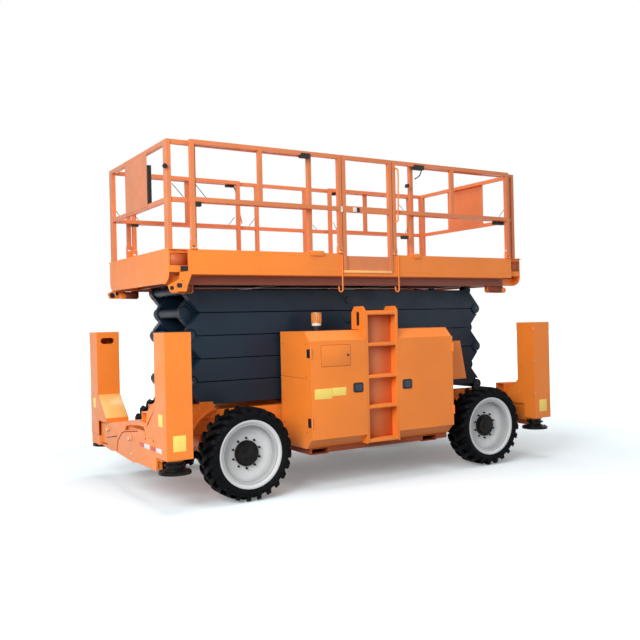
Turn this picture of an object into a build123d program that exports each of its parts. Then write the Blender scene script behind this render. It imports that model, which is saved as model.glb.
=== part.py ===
from build123d import *
import os
from math import atan2, cos, degrees, hypot, radians, sin

# Rough-terrain scissor lift: every rigid piece at its real size, in millimetres.
# X runs along the machine (the steered wheels are at -X), Y across it (the entry gate and the
# ladder are at -Y) and Z up. The origin is on the ground under the middle of the machine.

# ---------------------------------------------------------------- driving dimensions
# Wheels
WHEELBASE = 2880
TYRE_R = 420
TYRE_W = 300
TRACK_Y = 915            # middle of a wheel from the centre plane
WHEEL_X = WHEELBASE / 2
RIM_LIP_R = 307.5
RIM_WELL_R = 262
SPINDLE_R = 40
KINGPIN_Y = 760

# Outriggers
JACK_X = WHEEL_X + TYRE_R + 285
JACK_Y = 999
COVER_X0, COVER_X1 = JACK_X - 118, JACK_X + 118
COVER_Y0, COVER_Y1 = JACK_Y - 130, JACK_Y + 130
COVER_LOW, COVER_TOP = 460, 1527.5
FOOT_R = 140
LEG_R = 70
JACK_TUBE_R = LEG_R + 12

# Chassis
RAIL_Y = 430             # centre of a chassis rail, and plane of the outer scissor arms
RAIL_W = 90
RAIL_LOW = TYRE_R + 140
RAIL_END = JACK_X + 54
RAIL_WALL = 10

# Scissor stack
LEVELS = 5
PIN_X = 1767
BASE_PIN_Z = RAIL_LOW + 270
LEVEL_RISE = 217.4
ARM_GAP = 8
ARM_W = 90
INNER_Y = 305            # plane of the inner arms
HUB_R = 58
EAR_CUT_R = 66
ARM_PIN_R = 30
CENTRE_PIN_R = 35
CROSS_TUBE_R = 45
EAR_T = 30
CHEEK_T = 24
ROLLER_R = 50
ROLLER_HUB_R = 44
CHAMFER_DEG = 50

# Lift cylinders, between the inner arms; their ends are set above an arm's centre line
CYL_FOOT_X, CYL_FOOT_RISE = -1233, 22.15
CYL_EYE_X, CYL_EYE_RISE = 817, 4.16
CYL_BARREL_R = 80
CYL_ROD_R = 50
CYL_BARREL_L = 1850
CYL_ROD_TAIL = 150

# Platform: its heights follow the top of the folded scissor stack
DECK_HALF_L = 1910
DECK_HALF_W = 894
DECK_FLOOR = BASE_PIN_Z + LEVELS * LEVEL_RISE + 129
DECK_LOW = DECK_FLOOR - 16
TOE_TOP = DECK_FLOOR + 206
PLATE = 8
RAIL_TOP = DECK_FLOOR + 1169
MID_RAIL = DECK_FLOOR + 644
TUBE = 40
EXT_HALF_W = DECK_HALF_W - 37
EXT_RAIL_Y = EXT_HALF_W - 36
EXT_END = DECK_HALF_L + 200
EXT_INNER = 545
EXT_FLOOR = DECK_FLOOR + 12

# Cabinets
CAB_FRONT = 1100
CAB_BACK = 520
CAB_LOW, CAB_TOP = 400, 1500
CAB_BEVEL = 90
CAB_WALL = 10
DOOR_T = 15
CAB_SPANS = {"left": (-840, -220), "right": (170, 870)}

# Clearances
RUN = 0.3                # round parts that turn or slide in each other
MOVE = 5                 # free space between bodies that pass each other

RAIL_TRACK = BASE_PIN_Z - ROLLER_R - RUN
NEAR, FAR = -1, 1


# ---------------------------------------------------------------- shape helpers
def box(x0, x1, y0, y1, z0, z1):
    """A block between two corners given in any order."""
    size = Box(abs(x1 - x0), abs(y1 - y0), abs(z1 - z0))
    return Pos((x0 + x1) / 2, (y0 + y1) / 2, (z0 + z1) / 2) * size


def cyl_x(x0, x1, y, z, r):
    return Pos((x0 + x1) / 2, y, z) * Rot(0, 90, 0) * Cylinder(r, abs(x1 - x0))


def cyl_y(x, z, y0, y1, r):
    return Pos(x, (y0 + y1) / 2, z) * Rot(90, 0, 0) * Cylinder(r, abs(y1 - y0))


def cyl_z(x, y, z0, z1, r):
    return Pos(x, y, (z0 + z1) / 2) * Cylinder(r, abs(z1 - z0))


def plate_xz(points, y0, y1):
    """A plate whose outline is given by (x, z) points, between two Y planes."""
    face = Plane.XZ.offset(-max(y0, y1)) * make_face(Polyline(*points, close=True))
    return extrude(face, abs(y1 - y0))


def plate_yz(points, x0, x1):
    """A plate whose outline is given by (y, z) points, between two X planes."""
    face = Plane.YZ.offset(min(x0, x1)) * make_face(Polyline(*points, close=True))
    return extrude(face, abs(x1 - x0))


def flip_y(shape):
    return mirror(shape, about=Plane.XZ)


def flip_x(shape):
    return mirror(shape, about=Plane.YZ)


def both_sides(shape):
    return shape + flip_y(shape)


def four_corners(shape):
    return both_sides(shape + flip_x(shape))


def fuse(shapes):
    total = shapes[0]
    for shape in shapes[1:]:
        total = total + shape
    return total


def save(name, shape):
    os.makedirs("parts", exist_ok=True)
    solids = shape.solids()
    body = solids[0] if len(solids) == 1 else Compound(children=list(solids))
    export_step(body, f"parts/{name}.step")


# ---------------------------------------------------------------- chassis
AXLE_Z = TYRE_R
BULKHEAD_T = 12
NOSE_X = PIN_X + 90          # the rails are cut down beyond this
NOSE_TOP = RAIL_LOW + 72
CAB_ARMS_X = (-530, 520)     # the arms that carry the cabinets
GUARD_R = 395                # about the axle, inside the turning wheel's sweep


def rail():
    """One box rail: full height under the scissor stack, cut down at both ends."""
    half, wall = RAIL_W / 2, RAIL_WALL
    steps = [(RAIL_END, NOSE_TOP), (NOSE_X, RAIL_TRACK)]
    outer = [box(-x, x, RAIL_Y - half, RAIL_Y + half, RAIL_LOW, top) for x, top in steps]
    steps = [(RAIL_END + 1, NOSE_TOP - wall), (NOSE_X - wall, RAIL_TRACK - wall)]
    hollow = [box(-x, x, RAIL_Y - half + wall, RAIL_Y + half - wall, RAIL_LOW + wall, top)
              for x, top in steps]
    return fuse(outer) - fuse(hollow)


def chassis_frame():
    """Two box rails, their cross members, the scissor's base hinges and the end bulkheads."""
    half = RAIL_W / 2
    frame = both_sides(rail())
    inner_face = RAIL_Y - half
    cross_top = BASE_PIN_Z - HUB_R - 2 * MOVE
    end_x = RAIL_END - 156
    for x in (-PIN_X, -WHEEL_X + 160, *CAB_ARMS_X, WHEEL_X):
        frame += box(x - 60, x + 60, -inner_face, inner_face, RAIL_LOW + 30, cross_top)
    for x in (-end_x, end_x):
        frame += box(x - 60, x + 60, -inner_face, inner_face, RAIL_LOW + 10, NOSE_TOP)
    for x in CAB_ARMS_X:
        frame += both_sides(box(x - 90, x + 90, RAIL_Y + half, CAB_BACK, RAIL_LOW + 40, RAIL_LOW + 180))
    frame += four_corners(box(RAIL_END, RAIL_END + BULKHEAD_T, 0, RAIL_Y + half, 400, NOSE_TOP))
    frame += four_corners(lug())
    return frame + both_sides(base_hinge(cross_top))


def hose_guard():
    """The bracket on a rail ahead of the steered wheel, and the curved guard beside it."""
    face = RAIL_Y + RAIL_W / 2
    low, top = RAIL_LOW + 140, RAIL_TRACK + 85
    x = -WHEEL_X
    bracket = plate_xz([(x - 260, low), (x - 255, top), (x - 120, top - 5), (x - 105, low + 60),
                        (x - 105, low)], face + MOVE, face + MOVE + 10)
    bracket += box(x - 255, x - 110, face, face + MOVE, low, RAIL_TRACK - 5)
    arc = cyl_y(x, AXLE_Z, face + MOVE, face + 55, GUARD_R)
    arc -= cyl_y(x, AXLE_Z, face, face + 60, GUARD_R - 14)
    arc = arc & box(x - GUARD_R, x - 110, face, face + 60, RAIL_LOW, top)
    stay = box(x - GUARD_R + 2, x - GUARD_R + 60, face, face + 20, RAIL_LOW + 60, RAIL_LOW + 90)
    return bracket + arc + stay


def base_hinge(seat):
    """The clevis that holds the foot of the lowest inner arm: two cheeks and their pin."""
    cheeks = []
    for y0 in (INNER_Y - ARM_W / 2, INNER_Y + ARM_W / 2 - CHEEK_T):
        outline = [(-PIN_X - 55, seat), (-PIN_X + 55, seat), (-PIN_X + HUB_R, BASE_PIN_Z),
                   (-PIN_X - HUB_R, BASE_PIN_Z)]
        cheek = plate_xz(outline, y0, y0 + CHEEK_T)
        cheeks.append(cheek + cyl_y(-PIN_X, BASE_PIN_Z, y0, y0 + CHEEK_T, HUB_R))
    pin = cyl_y(-PIN_X, BASE_PIN_Z, INNER_Y - ARM_W / 2, INNER_Y + ARM_W / 2, ARM_PIN_R)
    return cheeks[0] + cheeks[1] + pin


LUG_X, LUG_Z, LUG_BORE = RAIL_END - 239, RAIL_LOW - 40, 25


def lug():
    """A tie-down lug under a chassis rail, with its shackle hole."""
    outline = [(LUG_X - 60, RAIL_LOW), (LUG_X + 60, RAIL_LOW), (LUG_X + 35, LUG_Z - 45),
               (LUG_X - 35, LUG_Z - 45)]
    plate = plate_xz(outline, RAIL_Y - 12, RAIL_Y + 12)
    return plate - cyl_y(LUG_X, LUG_Z, RAIL_Y - 20, RAIL_Y + 20, LUG_BORE)


AXLE_HALF = 60           # half the height and width of an axle beam
YOKE_IN, YOKE_OUT = 690, 800
YOKE_T = 30
YOKE_GAP = 160           # between the two arms of a yoke
KNUCKLE_R = 44
KINGPIN_R = 22


def axle_beam(x, reach):
    beam = box(x - AXLE_HALF, x + AXLE_HALF, -reach, reach, AXLE_Z - AXLE_HALF, AXLE_Z + AXLE_HALF)
    pad = box(x - 80, x + 80, RAIL_Y - 50, RAIL_Y + 50, AXLE_Z + AXLE_HALF, RAIL_LOW)
    return beam + both_sides(pad) + cyl_y(x, AXLE_Z, -130, 130, 120)


def front_axle():
    """The steering axle: a beam that ends in a yoke for each king pin."""
    axle = axle_beam(-WHEEL_X, YOKE_IN)
    low, high = AXLE_Z - YOKE_GAP / 2, AXLE_Z + YOKE_GAP / 2
    web = box(-WHEEL_X - 50, -WHEEL_X + 50, YOKE_IN - 20, YOKE_IN + 20, low - YOKE_T, high + YOKE_T)
    yoke = web
    for z in (low - YOKE_T, high):
        arm = box(-WHEEL_X - 50, -WHEEL_X + 50, YOKE_IN, YOKE_OUT, z, z + YOKE_T)
        yoke += arm - cyl_z(-WHEEL_X, KINGPIN_Y, z - 1, z + YOKE_T + 1, KINGPIN_R + RUN)
    return axle + both_sides(yoke)


HUB_FACE = 945


def rear_axle():
    axle = axle_beam(WHEEL_X, 700)
    return axle + both_sides(cyl_y(WHEEL_X, AXLE_Z, 690, HUB_FACE, SPINDLE_R))


def knuckle(side):
    """A steering knuckle: king pin, boss and the spindle that carries the wheel."""
    reach = YOKE_GAP / 2
    boss = cyl_z(-WHEEL_X, KINGPIN_Y, AXLE_Z - reach + MOVE, AXLE_Z + reach - MOVE, KNUCKLE_R)
    pin = cyl_z(-WHEEL_X, KINGPIN_Y, AXLE_Z - reach - YOKE_T, AXLE_Z + reach + YOKE_T, KINGPIN_R)
    spindle = cyl_y(-WHEEL_X, AXLE_Z, KINGPIN_Y, HUB_FACE, SPINDLE_R)
    arm = box(-WHEEL_X + 20, -WHEEL_X + 150, KINGPIN_Y - 12, KINGPIN_Y + 12, AXLE_Z - 60, AXLE_Z - 36)
    piece = boss + pin + spindle + arm
    return piece if side == FAR else flip_y(piece)


def revolve_about_wheel(outline, x, side):
    """Turns (radius, y) points about a wheel's axle."""
    face = make_face(Polyline(*[(r, y) for r, y in outline], close=True))
    ring = revolve(face, Axis.Y)
    ring = Pos(x, 0, AXLE_Z) * ring
    return ring if side == FAR else flip_y(ring)


def rim(x, side):
    """A deep dished steel wheel: two lips, the well, the dish and a bored hub."""
    y, lip = TRACK_Y, 128
    hub_in, hub_r = 850, 95
    outline = [
        (RIM_LIP_R - 14, y - lip), (RIM_LIP_R, y - lip), (RIM_LIP_R, y - lip + 8),
        (RIM_WELL_R, y - lip + 16), (RIM_WELL_R, y + lip - 16), (RIM_LIP_R, y + lip - 8),
        (RIM_LIP_R, y + lip), (RIM_LIP_R - 14, y + lip), (RIM_WELL_R - 10, y + lip - 26),
        (RIM_WELL_R - 10, y + 30), (175, HUB_FACE - 15), (hub_r, HUB_FACE - 15), (hub_r, HUB_FACE),
        (SPINDLE_R + RUN, HUB_FACE), (SPINDLE_R + RUN, hub_in), (hub_r, hub_in),
        (hub_r, HUB_FACE - 27), (170, HUB_FACE - 27), (RIM_WELL_R - 10, y + 15),
        (RIM_WELL_R - 10, y - lip + 26),
    ]
    return revolve_about_wheel(outline, x, side)


def tyre(x, side):
    """A wide rough-terrain tyre, whole out to the tops of its lugs."""
    y, half, bead = TRACK_Y, TYRE_W / 2, 118
    seat = RIM_WELL_R + RUN
    profile = [
        (seat, y - bead + 12), (RIM_LIP_R + 4, y - bead + 8), (RIM_LIP_R + 12, y - half + 12),
        (TYRE_R - 75, y - half),
        (TYRE_R - 22, y - half + 8), (TYRE_R, y - half + 40), (TYRE_R, y + half - 40),
        (TYRE_R - 22, y + half - 8), (TYRE_R - 75, y + half), (RIM_LIP_R + 12, y + half - 12),
        (RIM_LIP_R + 4, y + bead - 8), (seat, y + bead - 12),
    ]
    return revolve_about_wheel(profile, x, side)


# ---------------------------------------------------------------- outriggers
def skirt_tube():
    """The square tube along the foot of a near cover's skirt, with its gusset, at +X +Y."""
    x0, x1 = COVER_X0, COVER_X1
    tube = box(x0, x1, 517, 649, 723, 825) - box(x0 - 1, x1 + 1, 525, 641, 731, 817)
    gusset = plate_yz([(649, 720), (649, 831), (COVER_Y0 + 4, 942), (COVER_Y0 + 4, 884)], x1 - PLATE, x1)
    foot = plate_yz([(517, 730), (613, 639), (640, 660), (649, 730)], x1 - PLATE, x1)
    return tube + gusset + foot


def outrigger_cover():
    """One sheet-metal jack cover with its sloping skirt, at +X +Y."""
    wall = PLATE
    outer = [(COVER_Y1, COVER_LOW), (COVER_Y1, COVER_TOP), (COVER_Y0, COVER_TOP), (COVER_Y0, 880),
             (600, 650), (600, ARM_TOP), (COVER_Y0, ARM_TOP), (COVER_Y0, COVER_LOW)]
    inner = [(COVER_Y1 - wall, COVER_LOW - 1), (COVER_Y1 - wall, COVER_TOP - wall),
             (COVER_Y0 + wall, COVER_TOP - wall), (COVER_Y0 + wall, 880 - wall),
             (600 + wall, 650 - wall), (600 + wall, ARM_TOP - 1), (COVER_Y0 + wall, ARM_TOP - 1),
             (COVER_Y0 + wall, COVER_LOW - 1)]
    cover = plate_yz(outer, COVER_X0, COVER_X1)
    cover -= plate_yz(inner, COVER_X0 + wall, COVER_X1 - wall)
    cover -= box(COVER_X0 - 1, COVER_X1 - wall, 500, JACK_Y - 39, COVER_LOW - 1, ARM_TOP)
    slot_x, slot_z = (COVER_X0 + COVER_X1) / 2 + 6, 1436
    slot = box(slot_x - 38, slot_x + 38, COVER_Y0 - 5, COVER_Y0 + 20, slot_z - 31, slot_z + 31)
    for dx in (-38, 38):
        slot += cyl_y(slot_x + dx, slot_z, COVER_Y0 - 5, COVER_Y0 + 20, 31)
    return cover - slot


ARM_LOW, ARM_TOP = 430, 612
BEAM_T = 20
BEAM_OUT = RAIL_END + 64      # flush with the covers' end faces
BEAM_LAP = 6                 # between the two plates that cross at an end
PIN_Z = 545
# (y, z) outlines of the end plates, y outwards; the plate behind reaches across the front one
NEAR_PLATE = [(-262, 360), (-210, 494), (-78, 581), (5, 601), (405, 646), (588, 650), (594, 611),
              (COVER_Y0 - 3, 611), (COVER_Y0 - 3, 341), (360, 345), (259, 330)]
FAR_PLATE = [(COVER_Y0 - 14, 360), (COVER_Y0 - 14, 585), (605, 608), (-81, 693), (-337, 710),
             (-554, 702), (-554, 684), (-337, 680), (-81, 655), (20, 640), (120, 520), (300, 360),
             (507, 338)]


def outrigger_beam(outer_plane, outline, boss_y, head_y):
    """One outrigger beam at +X: the plate across the end, the box arm and the jack's tube."""
    x1 = outer_plane
    x0 = x1 - BEAM_T
    plate = plate_yz(outline, x0, x1)
    boss = cyl_x(RAIL_END + BULKHEAD_T, x0, boss_y, PIN_Z, 60)
    head = cyl_x(x1, x1 + 18, head_y, PIN_Z, 28)
    arm_x = JACK_X - 90
    arm = box(arm_x, x0, 560, JACK_Y - 40, ARM_LOW, ARM_TOP)
    hollow_end = JACK_Y - JACK_TUBE_R - PLATE
    arm -= box(arm_x + 10, x0 - 10, 550, hollow_end, ARM_LOW + 10, ARM_TOP - 10)
    shell = cyl_z(JACK_X, JACK_Y, 440, 1400, JACK_TUBE_R)
    bore = cyl_z(JACK_X, JACK_Y, 400, 1390, LEG_R + RUN)
    inboard = box(arm_x, RAIL_END - 1, RAIL_Y + RAIL_W / 2, 560, ARM_LOW + 40, ARM_TOP - 20)
    toe = box(x0 - 40, x0, COVER_Y0 - 70, COVER_Y0 - 14, 357, ARM_LOW + 5)
    return plate + boss + head + inboard + toe + (arm + shell) - bore


def apron():
    """The far end plate's outer part, stepped forward of the jack and under its cover, at +X."""
    low, top = 357, COVER_LOW - 3
    sheet = box(COVER_X1 - PLATE, COVER_X1, COVER_Y0 - 30, COVER_Y1 - 16, low, top)
    far_face = BEAM_OUT - BEAM_T - BEAM_LAP
    return sheet + box(far_face - 1, COVER_X1, COVER_Y0 - 30, COVER_Y0 - 14, low + 5, top)


def outrigger_beams():
    near = outrigger_beam(BEAM_OUT, NEAR_PLATE, 177, 177)
    far = outrigger_beam(BEAM_OUT - BEAM_T - BEAM_LAP, FAR_PLATE, 400, 605)
    end = far + apron() + flip_y(near)
    return end + flip_x(end)


def jack_leg(x_side, y_side):
    """A jack's leg with its foot pad."""
    leg = cyl_z(JACK_X, JACK_Y, 352, 1250, LEG_R)
    foot = cyl_z(JACK_X, JACK_Y, 330, 352, FOOT_R)
    neck = Pos(JACK_X, JACK_Y, 366) * Cone(FOOT_R - 40, LEG_R, 28)
    piece = leg + foot + neck + cyl_z(JACK_X, JACK_Y, 400, 414, LEG_R + 22)
    if x_side < 0:
        piece = flip_x(piece)
    return piece if y_side > 0 else flip_y(piece)


# ---------------------------------------------------------------- cabinets
def cabinet_outline(grow=0.0):
    """The (y, z) outline of a near-side cabinet behind its door, moved inwards by grow."""
    front, back = -(CAB_FRONT - DOOR_T - RUN) + grow, -CAB_BACK - grow
    low, top, bevel = CAB_LOW + grow, CAB_TOP - grow, CAB_BEVEL - 0.6 * grow
    return [(front, low + bevel), (front, top - bevel), (front + bevel, top), (back, top),
            (back, low), (front + bevel, low)]


def cabinet(name):
    """A sheet-metal cabinet, hollow, with an opening behind its door."""
    x0, x1 = CAB_SPANS[name]
    shell = plate_yz(cabinet_outline(), x0, x1)
    shell -= plate_yz(cabinet_outline(CAB_WALL), x0 + CAB_WALL, x1 - CAB_WALL)
    mouth = box(x0 + 40, x1 - 40, -CAB_FRONT, -CAB_FRONT + 60, CAB_LOW + CAB_BEVEL + 40,
                CAB_TOP - CAB_BEVEL - 40)
    return shell - mouth


def cabinet_door(name):
    """A door leaf that covers a cabinet's whole front, with its two hinge knuckles."""
    x0, x1 = CAB_SPANS[name]
    hinge_x = x0 if name == "left" else x1
    low, top = CAB_LOW + CAB_BEVEL, CAB_TOP - CAB_BEVEL
    leaf = box(x0, x1, -CAB_FRONT, -CAB_FRONT + DOOR_T, low, top)
    for z in (low + 159, top - 115):
        leaf += cyl_z(hinge_x, -CAB_FRONT - 4, z - 45, z + 45, 9)
    return leaf


LADDER_X = (-220, 170)
LADDER_BACK = -985
LADDER_TOP = 1730
TREADS = (437, 765, 1059, 1370, 1675)


def ladder():
    """The entry ladder: two folded stringers, five treads and the sheet behind them."""
    outline = [(-CAB_FRONT, 400), (LADDER_BACK, 400), (LADDER_BACK, 1505), (-860, 1505),
               (-860, LADDER_TOP - 60), (-910, LADDER_TOP), (-CAB_FRONT + 40, LADDER_TOP),
               (-CAB_FRONT, LADDER_TOP - 40)]
    parts = []
    for x in (LADDER_X[0], LADDER_X[1] - PLATE):
        stringer = plate_yz(outline, x, x + PLATE)
        hole = box(x - 1, x + PLATE + 1, -990, -960, 1560, 1660)
        for z in (1560, 1660):
            hole += cyl_x(x - 1, x + PLATE + 1, -975, z, 15)
        parts.append(stringer - hole)
    for z in TREADS:
        parts.append(box(LADDER_X[0], LADDER_X[1], -CAB_FRONT + 5, LADDER_BACK, z - 25, z))
    parts.append(box(LADDER_X[0], LADDER_X[1], LADDER_BACK, LADDER_BACK + 5, 400, 1690))
    return fuse(parts)


FORK_X = (-705, 615)
FORK_W, FORK_H, FORK_WALL = 190, 60, 8


def fork_pocket_frame():
    """The tray under the cabinets: two fork pockets across it and a skirt along each side."""
    low = CAB_LOW - FORK_H
    reach = CAB_FRONT - CAB_BEVEL - 5
    tray = both_sides(box(-815, 845, reach - 12, reach, low + 10, CAB_LOW))
    for x in FORK_X:
        tray += box(x - FORK_W / 2, x + FORK_W / 2, -reach, reach, low, CAB_LOW)
    for x in FORK_X:
        half = FORK_W / 2 - FORK_WALL
        tray -= box(x - half, x + half, -reach - 1, reach + 1, low + FORK_WALL, CAB_LOW - FORK_WALL)
    return tray


def side_tank():
    """The hydraulic tank behind the right-hand cabinet."""
    outline = [(960, 930), (1320, 930), (1240, 1345), (960, 1345)]
    tank = plate_xz(outline, -800, -CAB_BACK)
    return tank + box(1000, 1180, -560, -RAIL_Y - RAIL_W / 2, 680, 940)


def engine_block():
    return box(260, 760, -960, -560, CAB_LOW + CAB_WALL, 1050)


BEACON_X, BEACON_Y, BEACON_R = -528, -700, 53


def beacon():
    """The warning light: a base and a lens with a rounded top."""
    base = cyl_z(BEACON_X, BEACON_Y, CAB_TOP, CAB_TOP + 75, BEACON_R - 3)
    lens = cyl_z(BEACON_X, BEACON_Y, CAB_TOP + 75, CAB_TOP + 160, BEACON_R)
    dome = cyl_z(BEACON_X, BEACON_Y, CAB_TOP + 160, CAB_TOP + 185, BEACON_R)
    return base + lens + fillet(dome.edges().group_by(Axis.Z)[-1], 22)


# ---------------------------------------------------------------- scissor arms
def arm_height(x, level):
    """The height of the centre line at x of an inner arm, folded down on its level."""
    rise = (PIN_X + x) / (2 * PIN_X) * LEVEL_RISE
    if level % 2 == 0:
        rise = LEVEL_RISE - rise
    return BASE_PIN_Z + (level - 1) * LEVEL_RISE + rise


CYL_FOOT = (CYL_FOOT_X, arm_height(CYL_FOOT_X, 1) + CYL_FOOT_RISE)
CYL_EYE = (CYL_EYE_X, arm_height(CYL_EYE_X, 2) + CYL_EYE_RISE)


def arm_outline(z):
    """The (x, z) outline of an arm that rises towards +X, folded down on its level."""
    lean = radians(CHAMFER_DEG)
    tangent = HUB_R + 2
    low, high = z + ARM_GAP / 2, z + LEVEL_RISE - ARM_GAP / 2
    nose = (-PIN_X - tangent * sin(lean), z + tangent * cos(lean))
    run = (high - nose[1]) / sin(lean) * cos(lean)
    tail = (-nose[0], z + LEVEL_RISE - tangent * cos(lean))
    return [(-PIN_X, low), (-nose[0] - run, low), tail, (PIN_X, high), (nose[0] + run, high), nose]


def arm_ends(z):
    return [(-PIN_X, z), (PIN_X, z + LEVEL_RISE)]


def arm_beam(level, plane, forked, roller_end=None):
    """One side of an arm that rises towards +X.

    A forked beam has two cheeks and a pin at each end, and the other kind has one ear with a
    bore. roller_end gives the end, 0 or 1, that runs on a track.
    """
    z = BASE_PIN_Z + (level - 1) * LEVEL_RISE
    outline = arm_outline(z)
    y0, y1 = plane - ARM_W / 2, plane + ARM_W / 2
    slabs = [(y0, y0 + CHEEK_T), (y1 - CHEEK_T, y1)] if forked else [(plane - EAR_T / 2, plane + EAR_T / 2)]
    beam = plate_xz(outline, y0, y1)
    for x, pin_z in arm_ends(z):
        beam -= cyl_y(x, pin_z, y0 - 1, y1 + 1, EAR_CUT_R)
    for a, b in slabs:
        beam += plate_xz(outline, a, b)
    for end, (x, pin_z) in enumerate(arm_ends(z)):
        rolls = end == roller_end
        hub = ROLLER_HUB_R if rolls else HUB_R
        for a, b in slabs:
            if rolls:
                beam -= cyl_y(x, pin_z, a, b, EAR_CUT_R) - cyl_y(x, pin_z, a, b, hub)
                beam += neck(x, pin_z, end, a, b)
            beam += cyl_y(x, pin_z, a, b, hub)
        if not forked and not rolls:
            beam -= cyl_y(x, pin_z, y0, y1, ARM_PIN_R + RUN)
        if forked or rolls:
            beam += cyl_y(x, pin_z, y0, y1, ARM_PIN_R)
        if rolls:
            beam += roller(x, pin_z, plane, forked)
    return beam


def neck(x, z, end, y0, y1):
    """The tapered stretch of ear between a roller's hub and the body of its arm."""
    inward = 1 if end == 0 else -1
    outline = [(x, z + inward * 5), (x + inward * 110, z + inward * 5), (x + inward * 70, z + inward * 90),
               (x - inward * 20, z + inward * 38)]
    return plate_xz(outline, y0, y1)


def roller(x, z, plane, forked):
    """The track rollers on an arm's end: one between the cheeks, or one each side of an ear."""
    if forked:
        half = ARM_W / 2 - CHEEK_T - 2
        return cyl_y(x, z, plane - half, plane + half, ROLLER_R)
    pair = []
    for side in (-1, 1):
        near_ear = plane + side * (EAR_T / 2 + 2)
        pair.append(cyl_y(x, z, near_ear, plane + side * (ARM_W / 2 - 4), ROLLER_R))
    return pair[0] + pair[1]


def cross_tube(x, z, reach, r=CROSS_TUBE_R):
    return cyl_y(x, z, -reach, reach, r)


def scissor_arm(level, place):
    """An arm: two beams and the tubes across them. Inner arms of odd levels rise to +X."""
    inner = place == "inner"
    rises = inner == (level % 2 == 1)
    plane = INNER_Y if inner else RAIL_Y
    z = BASE_PIN_Z + (level - 1) * LEVEL_RISE
    centre_z = z + LEVEL_RISE / 2
    roller_end = None
    if level == 1 and not inner:
        roller_end = 1          # the right-hand end once the beam is flipped
    if level == LEVELS and inner:
        roller_end = 1
    if rises:
        beam = arm_beam(level, plane, False, roller_end)
    else:
        end = None if roller_end is None else 0
        beam = flip_x(arm_beam(level, plane, True, end))
    arm = both_sides(beam)
    reach = plane - ARM_W / 2 + 1
    if not rises:
        for x, end_z in arm_ends(z):
            arm += cross_tube(-x, end_z, reach)
    if inner:
        arm += inner_tubes(level, rises, reach, centre_z)
        arm = centre_pivot_inner(arm, rises, centre_z)
    else:
        arm = centre_pivot_outer(arm, rises, centre_z)
    return arm


def inner_tubes(level, rises, reach, centre_z):
    """The tubes between the beams of an inner arm, set clear of the lift cylinders."""
    shift = (level - 1) // 2 * 2 * LEVEL_RISE
    if rises:
        foot = cross_tube(CYL_FOOT[0], CYL_FOOT[1] + shift, reach)
        return foot + cross_tube(500, BASE_PIN_Z + 50 + shift, reach, 36)
    eye_x, eye_z = CYL_EYE[0], CYL_EYE[1] + shift
    bridge = cross_tube(eye_x, eye_z + 108, reach, 40)
    bracket = plate_xz([(eye_x - 55, eye_z), (eye_x + 55, eye_z), (eye_x + 38, eye_z + 120),
                        (eye_x - 38, eye_z + 120)], 66, 86)
    bracket += cyl_y(eye_x, eye_z, 66, 86, 55)
    bracket -= cyl_y(eye_x, eye_z, 60, 90, 30)
    bridge += both_sides(bracket)
    return bridge + cross_tube(-900, centre_z, reach, 36)


def centre_pivot_inner(arm, rises, z):
    """An inner arm that rises to +X carries the centre pins, and the other kind their bores."""
    y0, y1 = INNER_Y - ARM_W / 2, INNER_Y + ARM_W / 2
    if rises:
        pin = cyl_y(0, z, y1 - 1, RAIL_Y + ARM_W / 2 + 14, CENTRE_PIN_R)
        pin += cyl_y(0, z, y1 - 1, RAIL_Y - ARM_W / 2 - MOVE, 60)
        return arm + both_sides(pin)
    return arm - cyl_y(0, z, -y1 - 1, y1 + 1, CENTRE_PIN_R + RUN)


def centre_pivot_outer(arm, rises, z):
    y1 = RAIL_Y + ARM_W / 2
    if rises:
        tube = cyl_y(0, z, -y1, y1, CENTRE_PIN_R)
        spacer = cyl_y(0, z, INNER_Y + ARM_W / 2 + MOVE, RAIL_Y - ARM_W / 2 + 1, 60)
        return arm + tube + both_sides(spacer)
    return arm - cyl_y(0, z, -y1 - 1, y1 + 1, CENTRE_PIN_R + RUN)


# ---------------------------------------------------------------- lift cylinders
def cylinder_frame(stage):
    """Turns a shape drawn along +X from the origin into a lift cylinder's place."""
    lean = degrees(atan2(CYL_EYE[1] - CYL_FOOT[1], CYL_EYE[0] - CYL_FOOT[0]))
    z = CYL_FOOT[1] + stage * 2 * LEVEL_RISE
    return Pos(CYL_FOOT[0], 0, z) * Rot(0, -lean, 0)


CYL_LENGTH = hypot(CYL_EYE[1] - CYL_FOOT[1], CYL_EYE[0] - CYL_FOOT[0])


def cylinder_barrel(stage):
    """A lift cylinder's barrel, with the sleeve that turns on its arm's cross tube."""
    bore_r = CROSS_TUBE_R + RUN
    barrel = cyl_x(70, CYL_BARREL_L, 0, 0, CYL_BARREL_R)
    barrel += cyl_x(CYL_BARREL_L - 60, CYL_BARREL_L, 0, 0, CYL_BARREL_R + 8)
    barrel += cyl_y(0, 0, -70, 70, CROSS_TUBE_R + 22)
    barrel += box(0, 90, -70, 70, -60, 60)
    barrel -= cyl_x(CYL_ROD_TAIL - 30, CYL_BARREL_L + 1, 0, 0, CYL_ROD_R + RUN)
    return cylinder_frame(stage) * (barrel - cyl_y(0, 0, -90, 90, bore_r))


def cylinder_rod(stage):
    """A lift cylinder's rod with its eye, whose pin ends short of the arm's bracket."""
    rod = cyl_x(CYL_ROD_TAIL, CYL_LENGTH - 30, 0, 0, CYL_ROD_R)
    eye = cyl_y(CYL_LENGTH, 0, -58, 58, 50)
    return cylinder_frame(stage) * (rod + eye)


# ---------------------------------------------------------------- platform decks
CHANNEL_Y0, CHANNEL_Y1 = DECK_HALF_W - 182, DECK_HALF_W - 114
CHANNEL_LOW, CHANNEL_T = DECK_FLOOR - 101, 5
GATE_X0, GATE_X1 = -325, 275
GATE_GAP = 3
SILL = DECK_FLOOR + 29
LIP_W = 18


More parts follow.
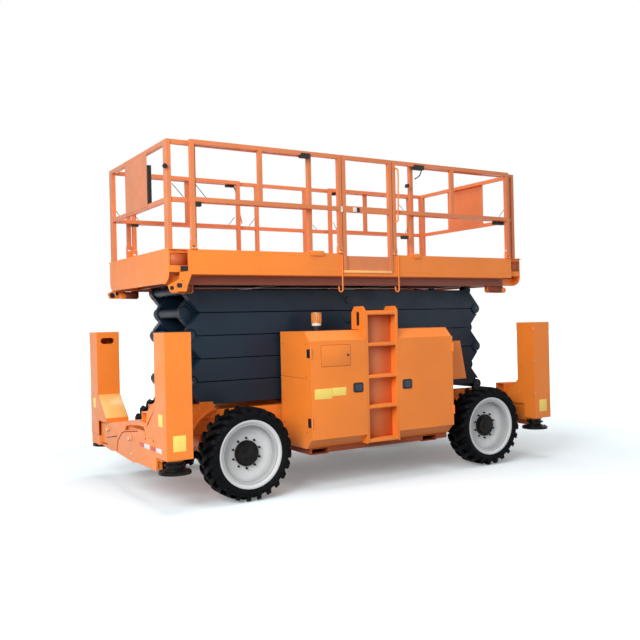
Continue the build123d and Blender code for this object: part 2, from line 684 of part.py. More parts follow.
def main_deck():
    """The main deck: floor, toe boards, runner channels, scissor tracks and hinge brackets."""
    inner_w = DECK_HALF_W - PLATE
    deck = box(-DECK_HALF_L, DECK_HALF_L, -inner_w - 1, inner_w + 1, DECK_FLOOR - 6, DECK_FLOOR)
    deck += box(-DECK_HALF_L, DECK_HALF_L, inner_w, DECK_HALF_W, DECK_LOW, TOE_TOP)
    deck += box(-DECK_HALF_L, DECK_HALF_L, inner_w - LIP_W, inner_w, TOE_TOP - 6, TOE_TOP)
    deck += box(-DECK_HALF_L, DECK_HALF_L, -DECK_HALF_W, -inner_w, DECK_LOW, SILL)
    deck += both_sides(runner_channel())
    track_low = BASE_PIN_Z + LEVELS * LEVEL_RISE + ROLLER_R + RUN
    deck += both_sides(box(-1850, 1850, INNER_Y - 45, INNER_Y + 45, track_low, DECK_FLOOR - 6))
    for x in (-1840, -700, 700, 1840):
        deck += box(x - 20, x + 20, -CHANNEL_Y0, CHANNEL_Y0, track_low, DECK_FLOOR - 6)
    deck += both_sides(top_hinge(track_low))
    for post in MAIN_POSTS_FAR:
        deck += rail_foot(post, FAR_MAIN_HINGE)
    return deck


def near_toe_boards():
    """The near side's toe boards, left and right of the gate, with their guardrail feet."""
    inner_w = DECK_HALF_W - PLATE
    spans = ((-DECK_HALF_L, GATE_X0 - GATE_GAP), (GATE_X1 + GATE_GAP, DECK_HALF_L))
    boards = []
    for (x0, x1), posts in zip(spans, (MAIN_POSTS_NEAR[:2], MAIN_POSTS_NEAR[2:])):
        board = box(x0, x1, -DECK_HALF_W, -inner_w, SILL, TOE_TOP)
        board += box(x0, x1, -inner_w, -inner_w + LIP_W, TOE_TOP - 6, TOE_TOP)
        for post in posts:
            board += flip_y(rail_foot(post, NEAR_MAIN_HINGE))
        boards.append(board)
    return boards[0] + boards[1]


CORNER_OUT = 30          # how far a corner plate stands out past the deck's end


def corner_plate(end):
    """The plate at a near corner of the deck, at +X: it closes the side and hangs below it."""
    x, z = DECK_HALF_L, DECK_LOW
    outline = [(x, TOE_TOP), (x + CORNER_OUT, TOE_TOP), (x + CORNER_OUT, z + 30), (x + 108, z + 18),
               (x + 118, z - 42), (x + 222, z - 98), (x + 202, z - 152), (x + 52, z - 150),
               (x + 38, z - 94), (x, z)]
    if end == "right":
        outline = [(x, TOE_TOP), (x + CORNER_OUT, TOE_TOP), (x + CORNER_OUT, z), (x, z)]
    y0, y1 = -DECK_HALF_W, -DECK_HALF_W + PLATE
    plate = plate_xz(outline, y0, y1)
    if end == "left":
        plate -= cyl_y(x + 184, z - 120, y0 - 1, y1 + 1, 19)
        plate -= box(x + 106, x + 142, y0 - 1, y1 + 1, z - 116, z - 80)
        plate += box(x + 12, x + 104, y1, y1 + 22, z + 34, z + 74)
    return plate if end == "right" else flip_x(plate)


def roller_bracket(x0, x1, roller_x):
    """The bracket under a runner channel, with the roller that carries the runner."""
    top = CHANNEL_LOW
    outline = [(x0, top), (x0, top - 52), (x0 + 20, top - 72), (x1 - 15, top - 76), (x1, top - 60),
               (x1, top)]
    bracket = plate_xz(outline, CHANNEL_Y0 + 8, CHANNEL_Y0 + 16)
    bracket += plate_xz(outline, CHANNEL_Y1 - 16, CHANNEL_Y1 - 8)
    return bracket + cyl_y(roller_x, top - 45, CHANNEL_Y0 + 4, CHANNEL_Y1 - 4, 30)


HOOK_R = 7


def gate_hook(x):
    """A rod with a hooked lower end that hangs on the near side by the gate."""
    y = -DECK_HALF_W - HOOK_R
    loop = 22
    straight = cyl_z(x, y, CHANNEL_LOW - 45, TOE_TOP - 15, HOOK_R)
    bend = Pos(x - loop, y, CHANNEL_LOW - 45) * Rot(90, 0, 0) * Torus(loop, HOOK_R)
    bend = bend & box(x - 2 * loop - HOOK_R, x + HOOK_R, y - HOOK_R, y + HOOK_R,
                      CHANNEL_LOW - 80, CHANNEL_LOW - 45)
    tip = cyl_z(x - 2 * loop, y, CHANNEL_LOW - 45, CHANNEL_LOW - 15, HOOK_R)
    hook = straight + bend + tip
    for z in (DECK_LOW + 20, TOE_TOP - 40):
        hook += box(x - 10, x + 10, -DECK_HALF_W, y, z, z + 16)
    return hook


def deck_fittings():
    """Corner plates, roller brackets and gate hooks, each fixed to the main deck."""
    fittings = corner_plate("left") + corner_plate("right")
    fittings += flip_y(corner_plate("left")) + flip_y(corner_plate("right"))
    fittings += both_sides(roller_bracket(-DECK_HALF_L - 110, -DECK_HALF_L + 60, -DECK_HALF_L - 105))
    fittings += both_sides(roller_bracket(DECK_HALF_L - 220, DECK_HALF_L + 10, DECK_HALF_L + 25))
    return fittings + gate_hook(GATE_X0 - 14) + gate_hook(GATE_X1 + 73)


def runner_channel():
    """The C channel in which an extension deck's runner slides."""
    y0, y1, low, high = CHANNEL_Y0, CHANNEL_Y1, CHANNEL_LOW, DECK_FLOOR - 6
    channel = box(-DECK_HALF_L, DECK_HALF_L, y1 - CHANNEL_T, y1, low, high)
    return channel + box(-DECK_HALF_L, DECK_HALF_L, y0, y1, low, low + CHANNEL_T)


def top_hinge(seat):
    """The ear under the deck that takes the pin of the top outer arm."""
    z = BASE_PIN_Z + LEVELS * LEVEL_RISE
    outline = [(-PIN_X - 50, seat + 20), (-PIN_X + 50, seat + 20), (-PIN_X + HUB_R, z), (-PIN_X - HUB_R, z)]
    ear = plate_xz(outline, RAIL_Y - EAR_T / 2, RAIL_Y + EAR_T / 2)
    ear += cyl_y(-PIN_X, z, RAIL_Y - EAR_T / 2, RAIL_Y + EAR_T / 2, HUB_R)
    ear += box(-PIN_X - 60, -PIN_X + 60, RAIL_Y - 45, RAIL_Y + 45, seat + 15, DECK_FLOOR - 6)
    ear += box(-PIN_X - 60, -PIN_X + 60, INNER_Y, RAIL_Y, seat + 15, DECK_FLOOR - 6)
    return ear - cyl_y(-PIN_X, z, RAIL_Y - 50, RAIL_Y + 50, ARM_PIN_R + RUN)


# Hinge heights of the folding guardrails, from low to high
NEAR_EXT_HINGE, NEAR_MAIN_HINGE = DECK_FLOOR + 204, DECK_FLOOR + 254
FAR_EXT_HINGE, FAR_MAIN_HINGE = DECK_FLOOR + 324, DECK_FLOOR + 374
MAIN_RAIL_Y = DECK_HALF_W - 4
END_POST_X = DECK_HALF_L - 22
GATE_POSTS = (GATE_X0 - 10 - TUBE / 2, GATE_X1 + 10 + TUBE / 2)
MAIN_POSTS_NEAR = (-END_POST_X, *GATE_POSTS, END_POST_X)
MAIN_POSTS_FAR = (-END_POST_X, -352, 300, END_POST_X)
EXT_POSTS = {
    ("left", "near"): (-END_POST_X + 37, -EXT_INNER - 111),
    ("left", "far"): (-END_POST_X + 37, -EXT_INNER - 80),
    ("right", "near"): (EXT_INNER + 38, END_POST_X + 87),
    ("right", "far"): (EXT_INNER + 73, END_POST_X - 11),
}
END_RAIL_X = {"left": -EXT_END + PLATE + TUBE / 2 + 1, "right": EXT_END - 74}
HINGE_R = 8
HINGE_EAR_T = 5


def rail_foot(x, hinge_z, y=MAIN_RAIL_Y, base=TOE_TOP):
    """A post's foot at +Y: a stub of tube with two ears and the hinge pin between them."""
    half = TUBE / 2
    stub = box(x - half, x + half, y - half, y + half, base, hinge_z - 34)
    for side in (-1, 1):
        x0 = x + side * (half + 1)
        stub += box(x0, x0 + side * HINGE_EAR_T, y - half, y + half, base, hinge_z + 16)
    stub += cyl_x(x - half - 6, x + half + 6, y, hinge_z, HINGE_R)
    stub += box(x - half - 6, x + half + 6, y - half, y + half, base, base + 6)
    return stub


def folding_frame(posts, x0, x1, hinge_z, y, pickets=()):
    """A guardrail panel at +Y: top rail, mid rail and posts that turn on the feet's pins."""
    half = TUBE / 2
    top = RAIL_TOP - half
    panel = box(x0, x1, y - half, y + half, top - half, top + half)
    panel += box(x0, x1, y - half, y + half, MID_RAIL - half, MID_RAIL + half)
    for x in posts:
        post = box(x - half, x + half, y - half, y + half, hinge_z - half, top)
        panel += post - cyl_x(x - half - 1, x + half + 1, y, hinge_z, HINGE_R + RUN)
    for x in pickets:
        panel += box(x - half, x + half, y - half, y + half, MID_RAIL, top)
    return panel


GATE_HINGES = (DECK_FLOOR + 404, DECK_FLOOR + 934)
GATE_HINGE_X, GATE_HINGE_Y = GATE_X1 + 5, -MAIN_RAIL_Y + 30


def gate_hinge_leaves():
    """The half of each gate hinge that is on the right-hand near guardrail."""
    leaves = []
    for z in GATE_HINGES:
        low = z - 45 - RUN
        knuckle = cyl_z(GATE_HINGE_X, GATE_HINGE_Y, low, z - RUN, 8)
        plate_y = -MAIN_RAIL_Y + TUBE / 2
        leaf = box(GATE_HINGE_X, GATE_HINGE_X + 35, plate_y, GATE_HINGE_Y - 4, low, z - RUN)
        leaves.append(knuckle + leaf)
    return fuse(leaves)


def gate():
    """The entry gate: two stiles, a deep mid bar, top bar and a toe plate."""
    half = TUBE / 2
    y = -MAIN_RAIL_Y
    top = RAIL_TOP - half
    leaf = box(GATE_X0, GATE_X1, y - half, y + half, top - half, top + half)
    leaf += box(GATE_X0, GATE_X1, y - half, y + half, MID_RAIL - 30, MID_RAIL + 30)
    for x in (GATE_X0, GATE_X1 - TUBE):
        leaf += box(x, x + TUBE, y - half, y + half, SILL + 15, top)
    leaf += box(GATE_X0, GATE_X1, y - 4, y + 4, SILL + 15, TOE_TOP - 22)
    for z in GATE_HINGES:
        leaf += cyl_z(GATE_HINGE_X, GATE_HINGE_Y, z, z + 45, 8)
        leaf += box(GATE_X1 - 30, GATE_HINGE_X, y + half, GATE_HINGE_Y - 4, z, z + 45)
    return leaf


def extension_deck(side):
    """A roll-out deck at +X: end plate, floor, toe plates, runners and the rails' feet."""
    end_low, end_top, corner = DECK_FLOOR - 90, DECK_FLOOR + 214, 90
    outline = Plane.YZ * RectangleRounded(2 * EXT_HALF_W, end_top - end_low, corner)
    end = extrude(Pos(EXT_END - PLATE, 0, (end_top + end_low) / 2) * outline, PLATE)
    end += box(EXT_END - PLATE, EXT_END, -EXT_HALF_W, EXT_HALF_W, end_top - corner - 10, end_top)
    deck = end + box(EXT_INNER, EXT_END - 1, -EXT_HALF_W + 6, EXT_HALF_W - 6, EXT_FLOOR - 6, EXT_FLOOR)
    toe = box(EXT_INNER, EXT_END - 1, EXT_HALF_W - 6, EXT_HALF_W, EXT_FLOOR - 6, TOE_TOP)
    toe += box(DECK_HALF_L + CORNER_OUT + MOVE, EXT_END, EXT_HALF_W - 6, DECK_HALF_W - 4,
               TOE_TOP - 6, TOE_TOP)
    deck += both_sides(toe)
    runner_low = CHANNEL_LOW + CHANNEL_T + RUN
    runner = box(EXT_INNER - 30, EXT_END - 1, CHANNEL_Y0 + 5, CHANNEL_Y1 - 10, runner_low, DECK_LOW)
    deck += both_sides(runner)
    if side == "left":
        deck = flip_x(deck)
    for x in EXT_POSTS[side, "far"]:
        deck += rail_foot(x, FAR_EXT_HINGE, EXT_RAIL_Y, EXT_FLOOR)
    for x in EXT_POSTS[side, "near"]:
        deck += flip_y(rail_foot(x, NEAR_EXT_HINGE, EXT_RAIL_Y, EXT_FLOOR))
    return deck


SIGN_Y = (-334, 300)


def end_rail(side):
    """An end guardrail that stands on the extension deck, with a pair of tubes at each corner."""
    half, top, reach = TUBE / 2, RAIL_TOP - TUBE / 2, EXT_RAIL_Y + TUBE / 2
    x = END_RAIL_X[side]
    out = -1 if side == "left" else 1
    rail = box(x - half, x + half, -reach, reach, top - half, top + half)
    rail += box(x - half, x + half, -reach, reach, MID_RAIL - half, MID_RAIL + half)
    for y in (reach, reach - TUBE - MOVE):
        rail += both_sides(box(x - half, x + half, y - TUBE, y, EXT_FLOOR, top))
    face = x + out * half
    return rail + box(face, face + out * 4, *SIGN_Y, MID_RAIL, top)


def control_box():
    """The flat control and document box behind the left end's sign plate."""
    x = END_RAIL_X["left"] - TUBE / 2
    return box(x + RUN, x + TUBE - 4, SIGN_Y[0] - 18, SIGN_Y[1] - 10,
               MID_RAIL + TUBE / 2 + 1, RAIL_TOP - 145)


# ---------------------------------------------------------------- every node
def build():
    save("chassis_frame", chassis_frame())
    save("front_axle", front_axle() + both_sides(hose_guard()))
    save("rear_axle", rear_axle())
    covers = flip_y(outrigger_cover() + skirt_tube()) + outrigger_cover()
    save("outrigger_covers", covers + flip_x(covers))
    save("outrigger_beams", outrigger_beams())
    cabinets = cabinet("left") + cabinet("right")
    save("near_cabinets", cabinets)
    save("far_cabinets", flip_y(cabinets))
    for name in CAB_SPANS:
        save(f"near_{name}_door", cabinet_door(name))
        save(f"far_{name}_door", flip_y(cabinet_door(name)))
    save("ladder", ladder())
    save("fork_pocket_frame", fork_pocket_frame())
    save("hydraulic_tank", side_tank())
    save("engine_block", engine_block())
    save("beacon", beacon())
    for side_name, side in (("near", NEAR), ("far", FAR)):
        save(f"{side_name}_knuckle", knuckle(side))
        for end_name, end in (("front", -1), ("rear", 1)):
            save(f"{end_name}_{side_name}_rim", rim(end * WHEEL_X, side))
            save(f"{end_name}_{side_name}_tyre", tyre(end * WHEEL_X, side))
            save(f"{end_name}_{side_name}_jack_leg", jack_leg(end, side))
    for level in range(1, LEVELS + 1):
        for place in ("inner", "outer"):
            save(f"scissor_arm_{level}_{place}", scissor_arm(level, place))
    for stage, name in enumerate(("lower", "upper")):
        save(f"{name}_cylinder_barrel", cylinder_barrel(stage))
        save(f"{name}_cylinder_rod", cylinder_rod(stage))
    save("main_deck", main_deck())
    save("near_toe_boards", near_toe_boards())
    save("deck_fittings", deck_fittings())
    for side in ("left", "right"):
        save(f"{side}_extension_deck", extension_deck(side))
        save(f"{side}_end_rail", end_rail(side))
    save("control_box", control_box())
    save_folding_rails()
    save("entry_gate", gate())


def save_folding_rails():
    half = TUBE / 2
    near = [("left", MAIN_POSTS_NEAR[:2], -DECK_HALF_L, MAIN_POSTS_NEAR[1] + half, (-1221,)),
            ("right", MAIN_POSTS_NEAR[2:], MAIN_POSTS_NEAR[2] - half, DECK_HALF_L, (1084,))]
    for name, posts, x0, x1, pickets in near:
        panel = flip_y(folding_frame(posts, x0, x1, NEAR_MAIN_HINGE, MAIN_RAIL_Y, pickets))
        if name == "right":
            panel += gate_hinge_leaves()
        save(f"near_{name}_guardrail", panel)
    far = folding_frame(MAIN_POSTS_FAR, -DECK_HALF_L, DECK_HALF_L, FAR_MAIN_HINGE, MAIN_RAIL_Y,
                        (-1217, 1190))
    save("far_guardrail", far)
    for (end, side), posts in EXT_POSTS.items():
        reach = END_RAIL_X[end] + (half + MOVE) * (1 if end == "left" else -1)
        inner = posts[1] + half if end == "left" else posts[0] - half
        hinge = NEAR_EXT_HINGE if side == "near" else FAR_EXT_HINGE
        panel = folding_frame(posts, min(reach, inner), max(reach, inner), hinge, EXT_RAIL_Y)
        save(f"{end}_extension_{side}_rail", flip_y(panel) if side == "near" else panel)


build()
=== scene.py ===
from math import cos, pi, radians, sin

import bmesh
import bpy
from mathutils import Matrix, Vector


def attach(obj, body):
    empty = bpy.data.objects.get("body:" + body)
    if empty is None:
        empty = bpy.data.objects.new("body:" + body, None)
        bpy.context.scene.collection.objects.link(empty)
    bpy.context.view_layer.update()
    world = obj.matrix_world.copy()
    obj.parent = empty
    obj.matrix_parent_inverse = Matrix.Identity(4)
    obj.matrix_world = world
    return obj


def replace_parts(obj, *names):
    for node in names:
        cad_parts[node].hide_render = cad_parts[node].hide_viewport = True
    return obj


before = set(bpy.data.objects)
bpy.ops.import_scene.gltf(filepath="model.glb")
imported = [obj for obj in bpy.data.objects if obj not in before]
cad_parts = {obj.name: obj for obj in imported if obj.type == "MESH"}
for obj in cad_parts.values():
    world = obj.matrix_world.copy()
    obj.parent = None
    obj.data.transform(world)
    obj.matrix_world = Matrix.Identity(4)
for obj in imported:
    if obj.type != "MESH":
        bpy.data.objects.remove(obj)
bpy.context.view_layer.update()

# All sizes are in metres in the shared frame: X runs along the machine with the photograph's
# left end at -X, Y across it with the near side at -Y, and Z up from the ground.
LEFT, RIGHT = -1, 1
NEAR, FAR = -1, 1
CORNERS = [(end, side) for end in (LEFT, RIGHT) for side in (NEAR, FAR)]


def row(side):
    """The CAD's word for a side of the machine."""
    return "near" if side == NEAR else "far"


def corner(end, side):
    """The CAD's word for a corner; the left end, with the steered wheels, is the front."""
    return f"{'front' if end == LEFT else 'rear'}_{row(side)}"


def span(direction, a, b):
    """The range from a to b out along a direction of 1 or -1, lowest first."""
    return sorted((direction * a, direction * b))


# ---------------------------------------------------------------- colours
def srgb(r, g, b):
    """A linear colour from 8-bit sRGB values."""
    def linear(v):
        v /= 255
        return v / 12.92 if v <= 0.04045 else ((v + 0.055) / 1.055) ** 2.4
    return (linear(r), linear(g), linear(b), 1.0)


def shade(colour, factor):
    return tuple(min(1.0, c * factor) for c in colour[:3]) + (1.0,)


ORANGE = srgb(247, 137, 50)
RAIL_ORANGE = srgb(218, 128, 78)
SUNLIT_ORANGE = srgb(255, 194, 112)
# A darker orange painted as the shade in a recessed bay
RECESS_SHADE_ORANGE = srgb(190, 88, 46)
# A brown painted as shadow in gaps and along edges
GAP_SHADOW_BROWN = srgb(146, 70, 32)
# A dark brown painted as shade on the frame under the chassis
UNDERFRAME_SHADE_BROWN = srgb(142, 66, 34)
# A dark maroon painted as shade on the deck's underside and on the roller brackets' faces
UNDERSIDE_SHADE_MAROON = srgb(132, 66, 44)
NAVY = srgb(18, 37, 53)
BLACK = srgb(10, 11, 13)
# Black plastic, also laid as dark films painted as the shade in holes and slots
PLASTIC_AND_HOLE_SHADE = srgb(26, 27, 30)
RUBBER = srgb(5, 6, 9)
SCUFFED_RUBBER = srgb(17, 18, 22)
RUBBER_DUST = srgb(60, 60, 60)
DUST = srgb(150, 132, 112)
IRON = srgb(62, 62, 62)
LATCH = srgb(64, 70, 80)
# A grey painted as the shade in a wheel dish's groove
GROOVE_SHADE_GREY = srgb(128, 130, 128)
ZINC = srgb(206, 200, 190)
SILVER = srgb(212, 215, 217)
CHROME = srgb(214, 216, 220)
WHITE = srgb(232, 232, 228)
YELLOW = srgb(255, 226, 112)
AMBER = srgb(255, 164, 40)
RED = srgb(214, 74, 52)
BOLT_BROWN = srgb(120, 84, 60)


# ---------------------------------------------------------------- materials
BARREL_FROM, BARREL_TO = (0.938, 0.950), (1.030, 1.016)  # a wheel barrel's ends, as distances across; the barrel between them is darkened as painted shade
GRIP_GAP = 0.07  # the anti-slip grid's groove, as a share of its pitch


class Graph:
    """Adds and links shader nodes in one node tree."""

    def __init__(self, tree):
        self.tree = tree

    def add(self, kind, **values):
        node = self.tree.nodes.new(kind)
        for key, value in values.items():
            setattr(node, key, value)
        return node

    def link(self, a, b):
        self.tree.links.new(a, b)

    def math(self, operation, a, b=None):
        """A math node on one or two values; each is a float or a socket."""
        node = self.add("ShaderNodeMath", operation=operation)
        for socket, value in zip(node.inputs, (a, b)):
            if isinstance(value, float):
                socket.default_value = value
            elif value is not None:
                self.link(value, socket)
        return node.outputs[0]

    def multiply(self, a, b):
        return self.math("MULTIPLY", a, b)

    def component(self, vector, axis):
        node = self.add("ShaderNodeSeparateXYZ")
        self.link(vector, node.inputs[0])
        return node.outputs[axis]

    def spread(self, value, low, high, to_low=0.0, to_high=1.0):
        """Maps a value from low..high to to_low..to_high."""
        node = self.add("ShaderNodeMapRange")
        for key, number in zip(("From Min", "From Max", "To Min", "To Max"), (low, high, to_low, to_high)):
            node.inputs[key].default_value = number
        self.link(value, node.inputs["Value"])
        return node.outputs[0]

    def mix(self, factor, a, b):
        """Colour a at factor 0 and b at factor 1; each is a colour or a socket."""
        node = self.add("ShaderNodeMix", data_type="RGBA")
        self.link(factor, node.inputs[0])
        for socket, value in ((node.inputs[6], a), (node.inputs[7], b)):
            if isinstance(value, tuple):
                socket.default_value = value
            else:
                self.link(value, socket)
        return node.outputs[2]

    def seen_directly(self):
        """1 for rays from the camera, from gloss and through glass, and 0 for the rest."""
        path = self.add("ShaderNodeLightPath").outputs
        mirrored = self.math("MAXIMUM", path["Is Camera Ray"], path["Is Glossy Ray"])
        return self.math("MAXIMUM", mirrored, path["Is Transmission Ray"])


class Surface(Graph):
    """A material's nodes round one principled shader."""

    def __init__(self, name):
        self.material = bpy.data.materials.new(name)
        self.material.use_nodes = True
        super().__init__(self.material.node_tree)
        self.tree.nodes.clear()
        self.shader = self.add("ShaderNodeBsdfPrincipled")
        output = self.add("ShaderNodeOutputMaterial")
        self.link(self.shader.outputs[0], output.inputs["Surface"])
        self.place = self.add("ShaderNodeTexCoord").outputs["Object"]

    def plain(self, **values):
        """Sets the shader's own sockets; an underscore in a key stands for a space."""
        for key, value in values.items():
            self.shader.inputs[key.replace("_", " ")].default_value = value

    def drive(self, key, value):
        self.link(value, self.shader.inputs[key])

    def noise(self, scale, detail, roughness=0.55, stretch=(1, 1, 1)):
        """Noise in the object's own place; stretch scales it along each axis."""
        mapping = self.add("ShaderNodeMapping")
        mapping.inputs["Scale"].default_value = stretch
        self.link(self.place, mapping.inputs["Vector"])
        node = self.add("ShaderNodeTexNoise")
        node.inputs["Scale"].default_value = scale
        node.inputs["Detail"].default_value = detail
        node.inputs["Roughness"].default_value = roughness
        self.link(mapping.outputs[0], node.inputs["Vector"])
        return node.outputs["Fac"]

    def height(self):
        """Height above the ground at rest, in metres."""
        return self.component(self.place, "Z")

    def between_rims(self):
        """1 in a wheel's barrel, between its dish and its lip, and 0 elsewhere."""
        across = self.math("ABSOLUTE", self.component(self.place, "Y"))
        return self.multiply(self.spread(across, *BARREL_FROM), self.spread(across, *BARREL_TO))

    def worn_edges(self, radius):
        """0 on flat surfaces and up to 1 on sharp edges, with the rounded normal."""
        bevel = self.add("ShaderNodeBevel", samples=4)
        bevel.inputs["Radius"].default_value = radius
        geometry = self.add("ShaderNodeNewGeometry")
        dot = self.add("ShaderNodeVectorMath", operation="DOT_PRODUCT")
        self.link(bevel.outputs[0], dot.inputs[0])
        self.link(geometry.outputs["Normal"], dot.inputs[1])
        return self.spread(dot.outputs["Value"], low=0.98, high=0.75), bevel.outputs[0]

    def upward(self):
        """1 on faces that look up and 0 on the rest."""
        normal = self.add("ShaderNodeNewGeometry").outputs["Normal"]
        return self.spread(self.component(normal, "Z"), low=0.90, high=0.98)

    def grip(self, pitch):
        """The grooves of an anti-slip grid on upward faces: 1 in them and 0 on the pads."""
        node = self.add("ShaderNodeTexBrick", offset=0.0, squash=1.0)
        node.inputs["Color1"].default_value = node.inputs["Color2"].default_value = (1, 1, 1, 1)
        node.inputs["Mortar"].default_value = (0, 0, 0, 1)
        node.inputs["Scale"].default_value = 1.0
        node.inputs["Mortar Size"].default_value = pitch * GRIP_GAP
        node.inputs["Brick Width"].default_value = pitch
        node.inputs["Row Height"].default_value = pitch
        self.link(self.place, node.inputs["Vector"])
        return self.multiply(self.math("SUBTRACT", 1.0, node.outputs["Color"]), self.upward())

    def bump(self, height, strength, distance, normal=None):
        node = self.add("ShaderNodeBump")
        node.inputs["Strength"].default_value = strength
        node.inputs["Distance"].default_value = distance
        self.link(height, node.inputs["Height"])
        if normal is not None:
            self.link(normal, node.inputs["Normal"])
        self.drive("Normal", node.outputs[0])

    def finish(self, colour, roughness):
        self.drive("Base Color", colour)
        self.drive("Roughness", roughness)
        return self.material


def paint(name, colour, rough=0.40, spread=0.05, edge=0.35, dust=0.15, radius=0.004, coat=0.0, shine=0.32,
          under=None, grip=None, barrel=None):
    """Sprayed paint: patchy colour, faint runs, dust near the ground, chipped edges, orange peel.

    spread is how far the patches differ, edge how much paler the chips are, dust how thick
    the dust is, radius the rounding of the edges, and shine the gloss below any clear coat.
    With under, a pair of heights, the paint darkens to maroon as painted shade from the first down to the
    second.
    With grip, a pitch, upward faces carry an anti-slip grid. With barrel, a strength, a
    wheel's barrel is darker, as painted shade between its dish and its lip.
    """
    n = Surface(name)
    patches = n.spread(n.noise(scale=1.7, detail=5), low=0.35, high=0.65)
    base = n.mix(patches, shade(colour, 1 - spread), shade(colour, 1 + spread))
    runs = n.noise(scale=9, detail=6, roughness=0.65, stretch=(1, 1, 0.12))
    base = n.mix(n.spread(runs, low=0.56, high=0.80, to_high=0.05), base, shade(colour, 0.62))
    near_ground = n.spread(n.height(), low=0.75, high=0.30)
    dusty = n.spread(n.noise(scale=14, detail=7, roughness=0.7), low=0.42, high=0.70)
    base = n.mix(n.multiply(n.multiply(near_ground, dusty), dust), base, DUST)
    # Painted shade: below the heights in under, the paint darkens to maroon
    if under:
        base = n.mix(n.spread(n.height(), *under), base, UNDERSIDE_SHADE_MAROON)
    # Painted shade: the wheel's barrel, between dish and lip, is darkened
    if barrel:
        base = n.mix(n.multiply(n.between_rims(), barrel), base, shade(colour, 0.35))
    if grip:
        base = n.mix(n.multiply(n.grip(grip), 0.32), base, shade(colour, 0.45))
    edges, normal = n.worn_edges(radius)
    chips = n.multiply(edges, n.spread(n.noise(scale=60, detail=3), low=0.40, high=0.62))
    base = n.mix(n.multiply(chips, edge), base, shade(colour, 1.35))
    roughness = n.spread(n.noise(scale=6, detail=4), 0.3, 0.7, to_low=rough - 0.07, to_high=rough + 0.09)
    n.bump(n.noise(scale=420, detail=2), strength=0.10, distance=0.0008, normal=normal)
    n.plain(Specular_IOR_Level=shine, Coat_Weight=coat, Coat_Roughness=0.18)
    return n.finish(base, roughness)


def metal(name, colour, rough, spread=0.10, grain=(1, 1, 1)):
    """Bare or plated metal with a fine grain, stretched by grain along each axis."""
    n = Surface(name)
    patches = n.spread(n.noise(scale=40, detail=5), low=0.35, high=0.65)
    base = n.mix(patches, shade(colour, 1 - spread), shade(colour, 1 + spread))
    fine = n.noise(scale=300, detail=3, roughness=0.6, stretch=grain)
    n.bump(fine, strength=0.12, distance=0.0006, normal=n.worn_edges(0.002)[1])
    n.plain(Metallic=1.0)
    return n.finish(base, n.spread(fine, 0.3, 0.7, to_low=rough - 0.06, to_high=rough + 0.10))


def rubber(name):
    """Matt tyre rubber with scuffs and dust."""
    n = Surface(name)
    scuffs = n.spread(n.noise(scale=22, detail=7, roughness=0.7), low=0.50, high=0.72)
    base = n.mix(scuffs, RUBBER, SCUFFED_RUBBER)
    dusty = n.noise(scale=70, detail=6, roughness=0.75)
    base = n.mix(n.spread(dusty, low=0.68, high=0.90, to_high=0.15), base, RUBBER_DUST)
    skin = n.noise(scale=240, detail=5, roughness=0.7)
    n.bump(skin, strength=0.35, distance=0.002, normal=n.worn_edges(0.003)[1])
    n.plain(Specular_IOR_Level=0.08)
    return n.finish(base, n.spread(n.noise(scale=30, detail=5), 0.3, 0.7, to_low=0.52, to_high=0.72))


def sticker(name, colour):
    """A smooth printed film with faint dirt."""
    n = Surface(name)
    dirt = n.spread(n.noise(scale=35, detail=6, roughness=0.7), low=0.45, high=0.75, to_high=0.30)
    n.bump(n.noise(scale=500, detail=2), strength=0.05, distance=0.0004)
    roughness = n.spread(n.noise(scale=90, detail=3), 0.3, 0.7, to_low=0.30, to_high=0.45)
    return n.finish(n.mix(dirt, colour, shade(colour, 0.72)), roughness)


def lens(name, colour):
    """Clear tinted plastic with moulded ribs."""
    n = Surface(name)
    cloudy = n.spread(n.noise(scale=30, detail=3), low=0.3, high=0.7)
    n.drive("Base Color", n.mix(cloudy, shade(colour, 0.85), colour))
    n.plain(Roughness=0.14, Transmission_Weight=0.35, Coat_Weight=0.6)
    n.bump(n.noise(scale=8, detail=1, roughness=0.5, stretch=(0.1, 0.1, 40)), strength=0.4, distance=0.002)
    return n.material


